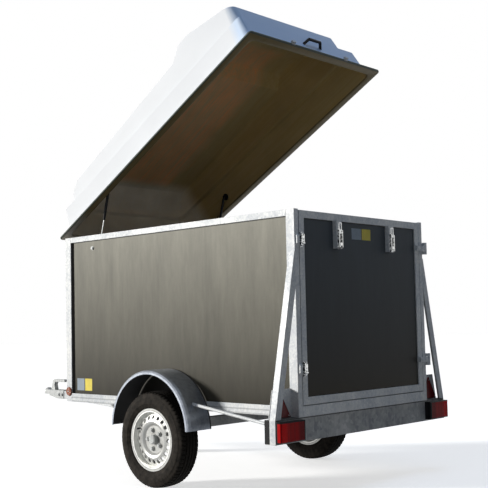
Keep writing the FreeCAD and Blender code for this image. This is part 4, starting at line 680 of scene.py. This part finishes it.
class TRAILER_OT_finishes(bpy.types.Operator):
    """Makes the materials and gives the carried-over nodes theirs"""
    bl_idname = "trailer.finishes"
    bl_label = "Finishes"

    def execute(self, context):
        finish = context.scene.trailer_finish
        spangle_group()
        streaked_group()
        grime_group()
        wheel = sum(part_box("tyre_left"), Vector()) / 2
        zinc = zinc_material("Galvanised steel", finish.zinc_light, finish.zinc_dark, 95.0, 0.08)
        bright = zinc_material("Plated fittings", finish.bright_light, finish.bright_dark, 260.0, 0.2)
        MATERIALS.update(
            zinc=zinc, bright=bright,
            tyre=tyre_material(finish, wheel), silver=wheel_material(finish, wheel),
            white=lid_outside_material(finish), raw=lid_inside_material(finish),
            edge=plain_material("Lid cut edge", finish.lid_edge, 0.6),
            polished=plain_material("Polished steel", finish.polish, 0.22, 1.0, 0.5),
            worked=worked_material(finish),
            black=plain_material("Black plastic", finish.black, 0.42),
            dark=plain_material("Dark gap", (0.004, 0.004, 0.004), 0.9, gloss=0.05),
            frame_red=plain_material("Reflector frame", [v * 0.5 for v in finish.reflector_red], 0.3),
            pale=plain_material("Sticker, pale half", finish.sticker_pale, 0.4),
            yellow=plain_material("Sticker, yellow half", finish.sticker_yellow, 0.4))
        give(zinc, *NODES)
        low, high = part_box("side_panel_left")
        side = board_material(
            "Side board film", finish.board_upper_lit, finish.board_lower_shaded, low, high, 0.45, 0.12, 0.28)
        give(side, "side_panel_left", "side_panel_right", "front_panel", "floor")
        low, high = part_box("door_panel")
        give(board_material(
            "Rear board film", finish.rear_upper_lit, finish.rear_lower_shaded, low, high, 0.5, 0.12, 0.15),
             "door_panel")
        give(guard_material(finish), "mudguards")
        give(MATERIALS["white"], "lid_shell")
        give(MATERIALS["tyre"], "tyre_left", "tyre_right", "jockey_wheel")
        give(MATERIALS["silver"], "rim_left", "rim_right")
        give(lens_material(finish), "lamp_lenses")
        give(reflector_material("Triangle reflector", finish.reflector_red, 260.0), "triangle_reflectors")
        give(reflector_material("Side marker", finish.marker_amber, 300.0), "side_markers")
        give(MATERIALS["black"], "lamp_housings", "lid_handle", "strut_cylinder_left",
             "strut_cylinder_right", "strut_feet_pair", "lid_strut_brackets")
        give(bright, "hub_left", "hub_right", "coupling_head", "coupling_lever", "jockey_tube",
             "jockey_leg", "jockey_clamp", "jockey_fork", "lid_hinge_leaves", "lid_hinge_knuckles")
        give(MATERIALS["polished"], "strut_rod_left", "strut_rod_right")
        give(MATERIALS["worked"], "door_latches", "catch_toggles")
        # Lamp bar: darker tones as painted shade on its set-back face, and a painted shadow line under the
        # sill.
        bar_shaded_tones = [v * 0.72 for v in finish.zinc_light], [v * 0.42 for v in finish.zinc_dark]
        shade_lines = ((0.98, 0.007, 0.8, False),)
        give(shade_lined_material("Lamp bar zinc", *bar_shaded_tones, 45.0, "lamp_bar", shade_lines), "lamp_bar")
        # Bottom rails: painted shade along the fold and the lower edge.
        tones = finish.zinc_light, finish.zinc_dark
        shade_lines = (0.52, 0.005, 0.35, True), (0.05, 0.008, 0.3, True)
        give(shade_lined_material("Bottom rail zinc", *tones, 95.0, "bottom_rails", shade_lines), "bottom_rails")
        for name in ("bottom_rails", "corner_posts", "top_rails", "drawbar", "braces",
                "lamp_bar", "door_frame",
                     "lid_catches", "catch_toggles", "door_latches", "lamp_housings", "axle_beam",
                     "reflector_plates", "coupling_lever"):
            soften(name, 0.0012)
        return {"FINISHED"}


# Mesh helpers.
def piece(name, bm, body, materials, smooth=30, hides=()):
    """Turns a mesh under work into a finished piece that rides with a body."""
    bmesh.ops.recalc_face_normals(bm, faces=bm.faces)
    mesh = bpy.data.meshes.new(name)
    bm.to_mesh(mesh)
    bm.free()
    if not mesh.polygons:
        raise RuntimeError("empty piece: " + name)
    for key in materials:
        mesh.materials.append(MATERIALS[key])
    mesh.shade_smooth()
    mesh.set_sharp_from_angle(angle=math.radians(smooth))
    made = bpy.data.objects.new(name, mesh)
    bpy.context.scene.collection.objects.link(made)
    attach(made, body)
    if hides:
        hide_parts(*hides)
    return made


def add_box(bm, low, high):
    """A box between two corners."""
    low, high = Vector(low), Vector(high)
    for vert in bmesh.ops.create_cube(bm, size=1.0)["verts"]:
        vert.co = (low + high) / 2 + Vector([c * (h - l) for c, l, h in zip(vert.co, low, high)])


def add_rod(bm, start, end, radius, sides=16, tip=None):
    """A round bar between two points, tapered where a tip radius is given."""
    start, end = Vector(start), Vector(end)
    way = end - start
    matrix = Matrix.Translation((start + end) / 2) @ way.to_track_quat("Z", "Y").to_matrix().to_4x4()
    bmesh.ops.create_cone(
        bm, cap_ends=True, segments=sides, radius1=radius, radius2=radius if tip is None else tip,
        depth=way.length, matrix=matrix)


def add_stack(bm, place, way, radius, steps):
    """Discs on one another: (foot, top, foot radius, top radius, sides) as shares of one radius."""
    place, way = Vector(place), Vector(way).normalized()
    for foot, top, wide, tip, sides in steps:
        start, end = place + way * radius * foot, place + way * radius * top
        add_rod(bm, start, end, radius * wide, sides, radius * tip)


def add_bolt(bm, place, way, radius):
    """A hexagon head on a washer, standing on a face."""
    washer = (0, 0.18, 1.35, 1.35, 20)
    add_stack(bm, place, way, radius, (washer, (0.18, 0.85, 1, 1, 6), (0.85, 0.98, 0.82, 0.62, 6)))


def add_dome(bm, place, way, radius):
    """A shallow round rivet head."""
    add_stack(bm, place, way, radius, ((0, 0.25, 1, 0.92, 14), (0.25, 0.5, 0.92, 0.45, 14)))


def add_ring(bm, centre, profile, steps, radius_at=None):
    """A closed section (y, radius) carried round a line along Y."""
    rows = []
    for step in range(steps):
        angle = 2 * math.pi * step / steps
        row = []
        for index, (y, radius) in enumerate(profile):
            if radius_at:
                radius = radius_at(step, y, radius)
            spot = Vector((math.sin(angle) * radius, y, math.cos(angle) * radius))
            row.append(bm.verts.new(centre + spot))
        rows.append(row)
    count = len(profile)
    for step, row in enumerate(rows):
        after = rows[(step + 1) % steps]
        for index in range(count):
            other = (index + 1) % count
            bm.faces.new((row[index], after[index], after[other], row[other]))


def from_node(name):
    """A merged copy of a node's mesh with its flat faces whole again."""
    bm = bmesh.new()
    bm.from_mesh(NODES[name].data)
    bmesh.ops.remove_doubles(bm, verts=bm.verts, dist=0.00002)
    bmesh.ops.dissolve_limit(
        bm, angle_limit=math.radians(0.5), verts=bm.verts, edges=bm.edges, use_dissolve_boundaries=False)
    return bm


class TRAILER_OT_lid(bpy.types.Operator):
    """Dresses the moulded lid: white outside, raw inside, softened edges"""
    bl_idname = "trailer.lid"
    bl_label = "Lid"

    def execute(self, context):
        settings = context.scene.trailer_lid
        bm = from_node("lid_shell")
        sharp = [edge for edge in bm.edges
                 if len(edge.link_faces) == 2 and edge.calc_face_angle() > math.radians(25)]
        bmesh.ops.bevel(
            bm, geom=sharp, offset=settings.edge, segments=settings.edge_steps, profile=0.5,
            affect="EDGES", material=-1, clamp_overlap=True)
        bm.normal_update()
        rim_low, _, rear = lid_limits()
        middle = Vector((rear / 2, 0, 0))
        for face in bm.faces:
            place = LID_TURN @ (face.calc_center_median() - LID_AXIS)
            way = LID_TURN.to_3x3() @ face.normal
            outward = (place - middle).xy.dot(way.xy) > 0
            on_rim = place.z < rim_low + settings.rim_band and outward and abs(way.z) < 0.9
            face.material_index = 2 if on_rim else 1 if way.z < -settings.draft / 2 else 0
        piece("lid_moulding", bm, "lid", ("white", "raw", "edge"), 28, ["lid_shell"])
        return {"FINISHED"}


def tyre_profile(low, high):
    """A tyre's wall (y, radius) from the bead to the tread's edge, and the tyre's radius."""
    half = (high.y - low.y) / 2
    outside = (high.z - low.z) / 2
    wall = [
        (0.675, 0.592), (0.735, 0.604), (0.79, 0.648), (0.86, 0.664), (0.93, 0.700), (0.975, 0.745),
        (0.985, 0.748), (0.997, 0.785), (0.997, 0.835), (0.975, 0.872), (0.955, 0.878), (0.925, 0.915),
        (0.875, 0.950), (0.815, 0.972), (0.765, 0.984)]
    side = [(y * half, radius * outside) for y, radius in wall]
    return side, outside


class TRAILER_OT_tyres(bpy.types.Operator):
    """Builds the treaded road tyres"""
    bl_idname = "trailer.tyres"
    bl_label = "Tyres"

    def execute(self, context):
        tread = context.scene.trailer_tread
        for side in ("left", "right"):
            low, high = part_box("tyre_" + side)
            centre = (low + high) / 2
            wall, outside = tyre_profile(low, high)
            edge = wall[-1][0]
            crown = []
            ribs = 5
            pitch = 2 * edge / ribs
            for rib in range(ribs):
                start = edge - rib * pitch
                stop = start - pitch
                first = start - (tread.groove_width / 2 if rib else 0)
                last = stop + (tread.groove_width / 2 if rib < ribs - 1 else 0)
                quarters = first * 0.75 + last * 0.25, (first + last) / 2, first * 0.25 + last * 0.75
                for place in (first, *quarters, last):
                    crown.append((place, outside - tread.crown * (place / edge) ** 2))
                if rib < ribs - 1:
                    bottom = outside - tread.groove_depth
                    crown.append((last - tread.groove_width * 0.15, bottom))
                    crown.append((last - tread.groove_width * 0.85, bottom))
            profile = wall + crown[1:-1] + [(-y, radius) for y, radius in reversed(wall)]
            steps = 4 * tread.notch_count
            shoulder = edge - pitch * 0.9

            def notched(step, y, radius):
                """Lowers the tread at the cross notches of both shoulders."""
                on_tread = radius > outside * 0.955
                if on_tread and abs(y) > shoulder and step % 4 == 0:
                    return radius - tread.groove_depth * 0.8
                if on_tread and abs(y) <= shoulder and (step + (2 if y > 0 else 0)) % 4 == 0:
                    return radius - tread.groove_depth * 0.25
                return radius

            bm = bmesh.new()
            add_ring(bm, centre, profile, steps, notched)
            piece("road_tyre_" + side, bm, "wheel_" + side, ("tyre",), 32, ["tyre_" + side])
        return {"FINISHED"}


class TRAILER_OT_wheel_fittings(bpy.types.Operator):
    """Adds wheel bolts, the grease cap's lip and the valve to each wheel"""
    bl_idname = "trailer.wheel_fittings"
    bl_label = "Wheel fittings"

    def execute(self, context):
        settings = context.scene.trailer_fasteners
        for side, sign in (("left", 1), ("right", -1)):
            low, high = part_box("hub_" + side)
            centre = (low + high) / 2
            cap_face = high.y if sign > 0 else low.y
            face = cap_face - sign * settings.cap_height
            out = Vector((0, sign, 0))
            bm = bmesh.new()
            for bolt in range(settings.wheel_bolts):
                angle = 2 * math.pi * (bolt + 0.25) / settings.wheel_bolts
                spot = Vector((
                    centre.x + math.sin(angle) * settings.wheel_bolt_ring, face,
                    centre.z + math.cos(angle) * settings.wheel_bolt_ring))
                add_rod(bm, spot, spot + out * settings.seat_height, settings.wheel_bolt_radius * 1.25, 20)
                add_bolt(bm, spot + out * settings.seat_height, out, settings.wheel_bolt_radius)
            lip = Vector((centre.x, face, centre.z))
            add_rod(bm, lip, lip + out * settings.seat_height, settings.cap_lip, 32)
            piece("wheel_bolts_" + side, bm, "wheel_" + side, ("bright",))
            bm = bmesh.new()
            stem = Vector((centre.x + 0.118, centre.y + sign * 0.020, centre.z + 0.058))
            add_rod(bm, stem, stem + out * 0.026, 0.0042, 14)
            add_rod(bm, stem + out * 0.022, stem + out * 0.034, 0.0052, 14)
            piece("valve_" + side, bm, "wheel_" + side, ("black",))
        return {"FINISHED"}


class TRAILER_OT_door_fittings(bpy.types.Operator):
    """Adds the catches' claws and levers, latch pivots and hinge rivets"""
    bl_idname = "trailer.door_fittings"
    bl_label = "Door fittings"

    def execute(self, context):
        low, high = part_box("catch_toggles")
        width = 0.034
        cheek_at = 0.0135
        cheek_half = 0.0022
        claw_at = 0.0105
        claw_wire = 0.0022
        claw_top = high.z + 0.030
        back = low.x
        claw_x = back + 0.003
        bm = bmesh.new()
        slot_shade = bmesh.new()
        for sign in (1, -1):
            middle = sign * (high.y - width / 2)
            for edge in (-1, 1):
                cheek = middle + edge * cheek_at
                claw = middle + edge * claw_at
                add_box(bm, (back - 0.003, cheek - cheek_half, low.z + 0.006),
                        (back + 0.004, cheek + cheek_half, high.z - 0.010))
                add_rod(bm, (claw_x, claw, high.z - 0.020), (claw_x, claw, claw_top), claw_wire, 10)
            add_rod(bm, (claw_x, middle - claw_at, claw_top),
                    (claw_x, middle + claw_at, claw_top), claw_wire, 10)
            add_rod(bm, (back - 0.004, middle, low.z + 0.024),
                    (back + 0.004, middle, low.z + 0.024), 0.0085, 24)
            add_rod(bm, (back - 0.0005, middle - 0.0155, high.z - 0.022),
                    (back - 0.0005, middle + 0.0155, high.z - 0.022), 0.0035, 14)
            # Painted shade: black marks for the levers' slot and pivot hollows.
            add_box(slot_shade, (back - 0.0008, middle - 0.0042, low.z + 0.036),
                    (back + 0.002, middle + 0.0042, high.z - 0.032))
            add_rod(slot_shade, (back - 0.0039, middle, low.z + 0.024),
                    (back - 0.002, middle, low.z + 0.024), 0.0038, 18)
        piece("catch_levers", bm, "door", ("polished",))
        piece("catch_slot_shade", slot_shade, "door", ("dark",))
        low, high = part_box("door_latches")
        bm = bmesh.new()
        middle = (low.y + high.y) / 2
        for height in (low.z + 0.040, high.z - 0.040):
            pivot = height + 0.012
            foot = height - 0.020
            add_rod(bm, (low.x - 0.0035, middle, pivot), (low.x + 0.004, middle, pivot), 0.0075, 20)
            add_rod(bm, (low.x - 0.002, low.y + 0.003, foot),
                    (low.x - 0.002, high.y - 0.003, foot), 0.0038, 14)
            for edge in (low.y + 0.004, high.y - 0.004):
                add_rod(bm, (low.x + 0.001, edge, foot), (low.x + 0.001, edge, height + 0.026), 0.0024, 10)
        piece("latch_pivots", bm, "door", ("polished",))
        low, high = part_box("door_hinges")
        bm = bmesh.new()
        for height in (low.z + 0.015, high.z - 0.015):
            for y in (low.y + 0.050, low.y + 0.078, high.y - 0.012):
                add_rod(bm, (low.x + 0.001, y, height), (low.x - 0.0012, y, height), 0.0068, 20, 0.0056)
        piece("hinge_bolts", bm, "door", ("zinc",))
        return {"FINISHED"}


class TRAILER_OT_fasteners(bpy.types.Operator):
    """Adds the bolts of the struts' feet, the frame and the coupling"""
    bl_idname = "trailer.fasteners"
    bl_label = "Fasteners"

    def execute(self, context):
        settings = context.scene.trailer_fasteners
        bm = bmesh.new()
        foot_low, foot_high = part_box("strut_feet_pair")
        wall_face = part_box("side_panel_left")[1].y
        for sign in (1, -1):
            add_bolt(bm, (foot_low.x + 0.006, sign * wall_face, (foot_low.z + foot_high.z) / 2), (0, sign, 0),
                     settings.frame_bolt_radius * 1.3)
        piece("strut_bolts", bm, "chassis", ("bright",))
        bm = bmesh.new()
        axle_low, axle_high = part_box("axle_beam")
        for sign in (1, -1):
            for x in (axle_low.x + 0.014, axle_high.x - 0.014):
                spot = (x, sign * (axle_high.y - 0.022), axle_high.z - 0.008)
                add_bolt(bm, spot, (0, 0, -1), settings.axle_bolt_radius)
        guard_low, guard_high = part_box("mudguards")
        rail_low, rail_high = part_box("bottom_rails")
        for sign in (1, -1):
            for x in (guard_low.x + 0.030, guard_high.x - 0.030):
                add_bolt(bm, (x, sign * rail_high.y, rail_low.z + 0.020),
                         (0, sign, 0), settings.frame_bolt_radius)
        piece("frame_bolts", bm, "chassis", ("bright",))
        bm = bmesh.new()
        head_low, head_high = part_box("coupling_head")
        for x in (head_low.x + 0.022, head_low.x + 0.062):
            for sign in (1, -1):
                add_bolt(bm, (x, sign * head_high.y, head_low.z + 0.032), (0, sign, 0),
                         settings.coupling_bolt_radius)
        piece("coupling_bolts", bm, "chassis", ("bright",))
        return {"FINISHED"}


class TRAILER_OT_trims(bpy.types.Operator):
    """Adds black strips at the walls' front ends, and black blocks in the lamp bar's ends as painted shade"""
    bl_idname = "trailer.trims"
    bl_label = "Seals and end caps"

    def execute(self, context):
        settings = context.scene.trailer_trims
        # Black strips at the walls' front ends.
        low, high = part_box("side_panel_left")
        bm = bmesh.new()
        for sign in (1, -1):
            faces = sorted((sign * high.y, sign * (high.y + settings.strip_rise)))
            add_box(bm, (high.x - settings.strip_width, faces[0], low.z), (high.x, faces[1], high.z))
        piece("wall_front_strips", bm, "chassis", ("dark",))
        # Painted shade: black blocks fill the lamp bar's open ends.
        low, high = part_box("lamp_bar")
        sheet = settings.bar_sheet
        bm = bmesh.new()
        for sign in (1, -1):
            faces = sorted((sign * high.y, sign * (high.y - settings.end_shade_depth)))
            add_box(bm, (low.x + sheet, faces[0], low.z + sheet), (high.x, faces[1], high.z - sheet))
        piece("bar_end_shade", bm, "chassis", ("black",))
        return {"FINISHED"}


class TRAILER_OT_lamps(bpy.types.Operator):
    """Adds the reflectors' frames and screws"""
    bl_idname = "trailer.lamps"
    bl_label = "Lamps and reflectors"

    def execute(self, context):
        half_side = context.scene.trailer_trims.triangle_side / 2
        fasteners = context.scene.trailer_fasteners
        screws = bmesh.new()
        low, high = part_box("triangle_reflectors")
        bm = bmesh.new()
        for sign in (1, -1):
            centre = sign * (high.y - half_side)
            corners = [
                Vector((low.x, centre - half_side, low.z)),
                Vector((low.x, centre + half_side, low.z)),
                Vector((low.x, centre, high.z))]
            middle = sum(corners, Vector()) / 3
            shrunk = [middle + (corner - middle) * 0.93 for corner in corners]
            for first, second in zip(shrunk, shrunk[1:] + shrunk[:1]):
                add_rod(bm, first, second, 0.0022, 8)
            for corner in corners:
                add_dome(screws, middle + (corner - middle) * 0.80, (-1, 0, 0), fasteners.screw_radius)
        piece("reflector_frames", bm, "chassis", ("frame_red",))
        low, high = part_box("side_markers")
        for sign in (1, -1):
            spot = ((low.x + high.x) / 2, sign * high.y, (low.z + high.z) / 2)
            add_dome(screws, spot, (0, sign, 0), fasteners.marker_screw_radius)
        piece("lamp_screws", screws, "chassis", ("bright",))
        return {"FINISHED"}


class TRAILER_OT_stickers(bpy.types.Operator):
    """Adds the blank two-part stickers"""
    bl_idname = "trailer.stickers"
    bl_label = "Stickers"

    def execute(self, context):
        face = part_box("door_panel")[0].x
        foot, top = DOOR_ROW
        for key, (right, left) in DOOR_HALVES.items():
            bm = bmesh.new()
            add_box(bm, (face - FACE_GAP, right, foot), (face, left, top))
            piece("door_sticker_" + key, bm, "door", (key,))
        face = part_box("side_panel_left")[1].y
        foot, top = SIDE_ROW
        for key, (rear, front) in SIDE_HALVES.items():
            bm = bmesh.new()
            add_box(bm, (rear, face, foot), (front, face + FACE_GAP, top))
            piece("side_sticker_" + key, bm, "chassis", (key,))
        return {"FINISHED"}


class TRAILER_OT_struts(bpy.types.Operator):
    """Adds the gas struts' end sockets"""
    bl_idname = "trailer.struts"
    bl_label = "Strut sockets"

    def execute(self, context):
        for side in ("left", "right"):
            head = Vector(JOINTS["strut_pivot_" + side]["pos_m"])
            way = Vector(JOINTS["strut_slide_" + side]["axis"])
            bm = bmesh.new()
            add_rod(bm, head + way * 0.010, head + way * 0.024, 0.0072, 18)
            add_rod(bm, head + way * 0.0232, head + way * 0.029, 0.0088, 24)
            piece("strut_socket_" + side, bm, "strut_cylinder_" + side, ("black",))
        return {"FINISHED"}


def camera_matrix(studio):
    """The camera's place and axes from heading, pitch and roll."""
    heading, pitch, roll = studio.camera_heading, studio.camera_pitch, studio.camera_roll
    ahead = Vector((
        math.cos(heading) * math.cos(pitch), math.sin(heading) * math.cos(pitch), math.sin(pitch)))
    level = Vector((math.sin(heading), -math.cos(heading), 0))
    upward = level.cross(ahead)
    across = math.cos(roll) * level + math.sin(roll) * upward
    above = -math.sin(roll) * level + math.cos(roll) * upward
    turn = Matrix((across, above, -ahead)).transposed().to_4x4()
    return Matrix.Translation(studio.camera_place) @ turn


def seen_rays(tree):
    """1 for rays that show the surround, seen or mirrored, and 0 for those that light the object."""
    path = node(tree, "ShaderNodeLightPath").outputs
    seen = added(tree, path["Is Camera Ray"], path["Is Glossy Ray"])
    return maths(tree, "MINIMUM", added(tree, seen, path["Is Transmission Ray"]), 1.0)


def area_lamp(name, place, target, size, power, colour):
    """A square lamp that points at a target."""
    data = bpy.data.lights.new(name, "AREA")
    data.size = size
    data.energy = power
    data.color = colour
    lamp = bpy.data.objects.new(name, data)
    lamp.location = place
    lamp.rotation_euler = (Vector(target) - Vector(place)).to_track_quat("-Z", "Y").to_euler()
    bpy.context.scene.collection.objects.link(lamp)


class TRAILER_OT_studio(bpy.types.Operator):
    """Sets the pale floor, the surround, the lamps and the camera"""
    bl_idname = "trailer.studio"
    bl_label = "Studio"

    def execute(self, context):
        studio = context.scene.trailer_studio
        scene = context.scene
        scene.view_settings.view_transform = "Standard"
        data = bpy.data.cameras.new("Camera")
        data.lens = studio.lens
        data.shift_x = studio.shift_across
        data.shift_y = studio.shift_up
        camera = bpy.data.objects.new("Camera", data)
        camera.matrix_world = camera_matrix(studio)
        scene.collection.objects.link(camera)
        scene.camera = camera
        key = bpy.data.lights.new("Key light", "SUN")
        key.energy = studio.key_strength
        key.angle = studio.key_softness
        key.color = (1.0, 0.985, 0.95)
        light = bpy.data.objects.new("Key light", key)
        light.rotation_euler = Vector(studio.key_way).to_track_quat("Z", "Y").to_euler()
        scene.collection.objects.link(light)
        area_lamp("Top lamp", (-2.4, 0.0, 6.5), (-1.6, 0.0, 2.4), 3.0, studio.top_power, (0.45, 0.65, 1.0))
        world = bpy.data.worlds.new("Surround")
        world.use_nodes = True
        scene.world = world
        tree = world.node_tree
        background = tree.nodes["Background"]
        seen = seen_rays(tree)
        tree.links.new(between(tree, seen, studio.sky_level, 1.0), background.inputs["Strength"])
        tree.links.new(mixed(tree, seen, (0.66, 0.82, 1.0, 1), (1, 1, 1, 1)), background.inputs["Color"])
        bm = bmesh.new()
        bmesh.ops.create_grid(bm, x_segments=1, y_segments=1, size=40)
        mesh = bpy.data.meshes.new("Floor")
        bm.to_mesh(mesh)
        bm.free()
        floor = bpy.data.objects.new("Floor", mesh)
        scene.collection.objects.link(floor)
        made, tree, shader = material("Pale floor", 0.8)
        seen = seen_rays(tree)
        bounce = toned((1, 1, 1), studio.floor_bounce)
        coat(tree, shader, mixed(tree, seen, bounce, (0.9, 0.9, 0.9, 1)))
        shader.inputs["Emission Color"].default_value = (1, 1, 1, 1)
        tree.links.new(times(tree, seen, studio.floor_lift), shader.inputs["Emission Strength"])
        mesh.materials.append(made)
        return {"FINISHED"}


PROPERTY_GROUPS = (TrailerFinish, TyreTread, LidMoulding, Fasteners, Trims, StudioSettings)
OPERATORS = (
    TRAILER_OT_finishes, TRAILER_OT_lid, TRAILER_OT_tyres, TRAILER_OT_wheel_fittings,
    TRAILER_OT_door_fittings,
    TRAILER_OT_fasteners, TRAILER_OT_trims, TRAILER_OT_lamps, TRAILER_OT_stickers, TRAILER_OT_struts,
    TRAILER_OT_studio)
SCENE_SETTINGS = {
    "trailer_finish": TrailerFinish,
    "trailer_tread": TyreTread,
    "trailer_lid": LidMoulding,
    "trailer_fasteners": Fasteners,
    "trailer_trims": Trims,
    "trailer_studio": StudioSettings,
}


class TRAILER_PT_sidebar(bpy.types.Panel):
    """Lists the trailer's operators"""
    bl_label = "Box trailer"
    bl_space_type = "VIEW_3D"
    bl_region_type = "UI"
    bl_category = "Trailer"

    def draw(self, context):
        for operator in OPERATORS:
            self.layout.operator(operator.bl_idname)


CLASSES = PROPERTY_GROUPS + OPERATORS + (TRAILER_PT_sidebar,)


def register():
    for made in CLASSES:
        bpy.utils.register_class(made)
    for name, group in SCENE_SETTINGS.items():
        setattr(bpy.types.Scene, name, PointerProperty(type=group))


def unregister():
    for name in SCENE_SETTINGS:
        delattr(bpy.types.Scene, name)
    for made in reversed(CLASSES):
        bpy.utils.unregister_class(made)


def main():
    register()
    for operator in OPERATORS:
        group, name = operator.bl_idname.split(".")
        getattr(getattr(bpy.ops, group), name)()


if __name__ == "__main__":
    main()
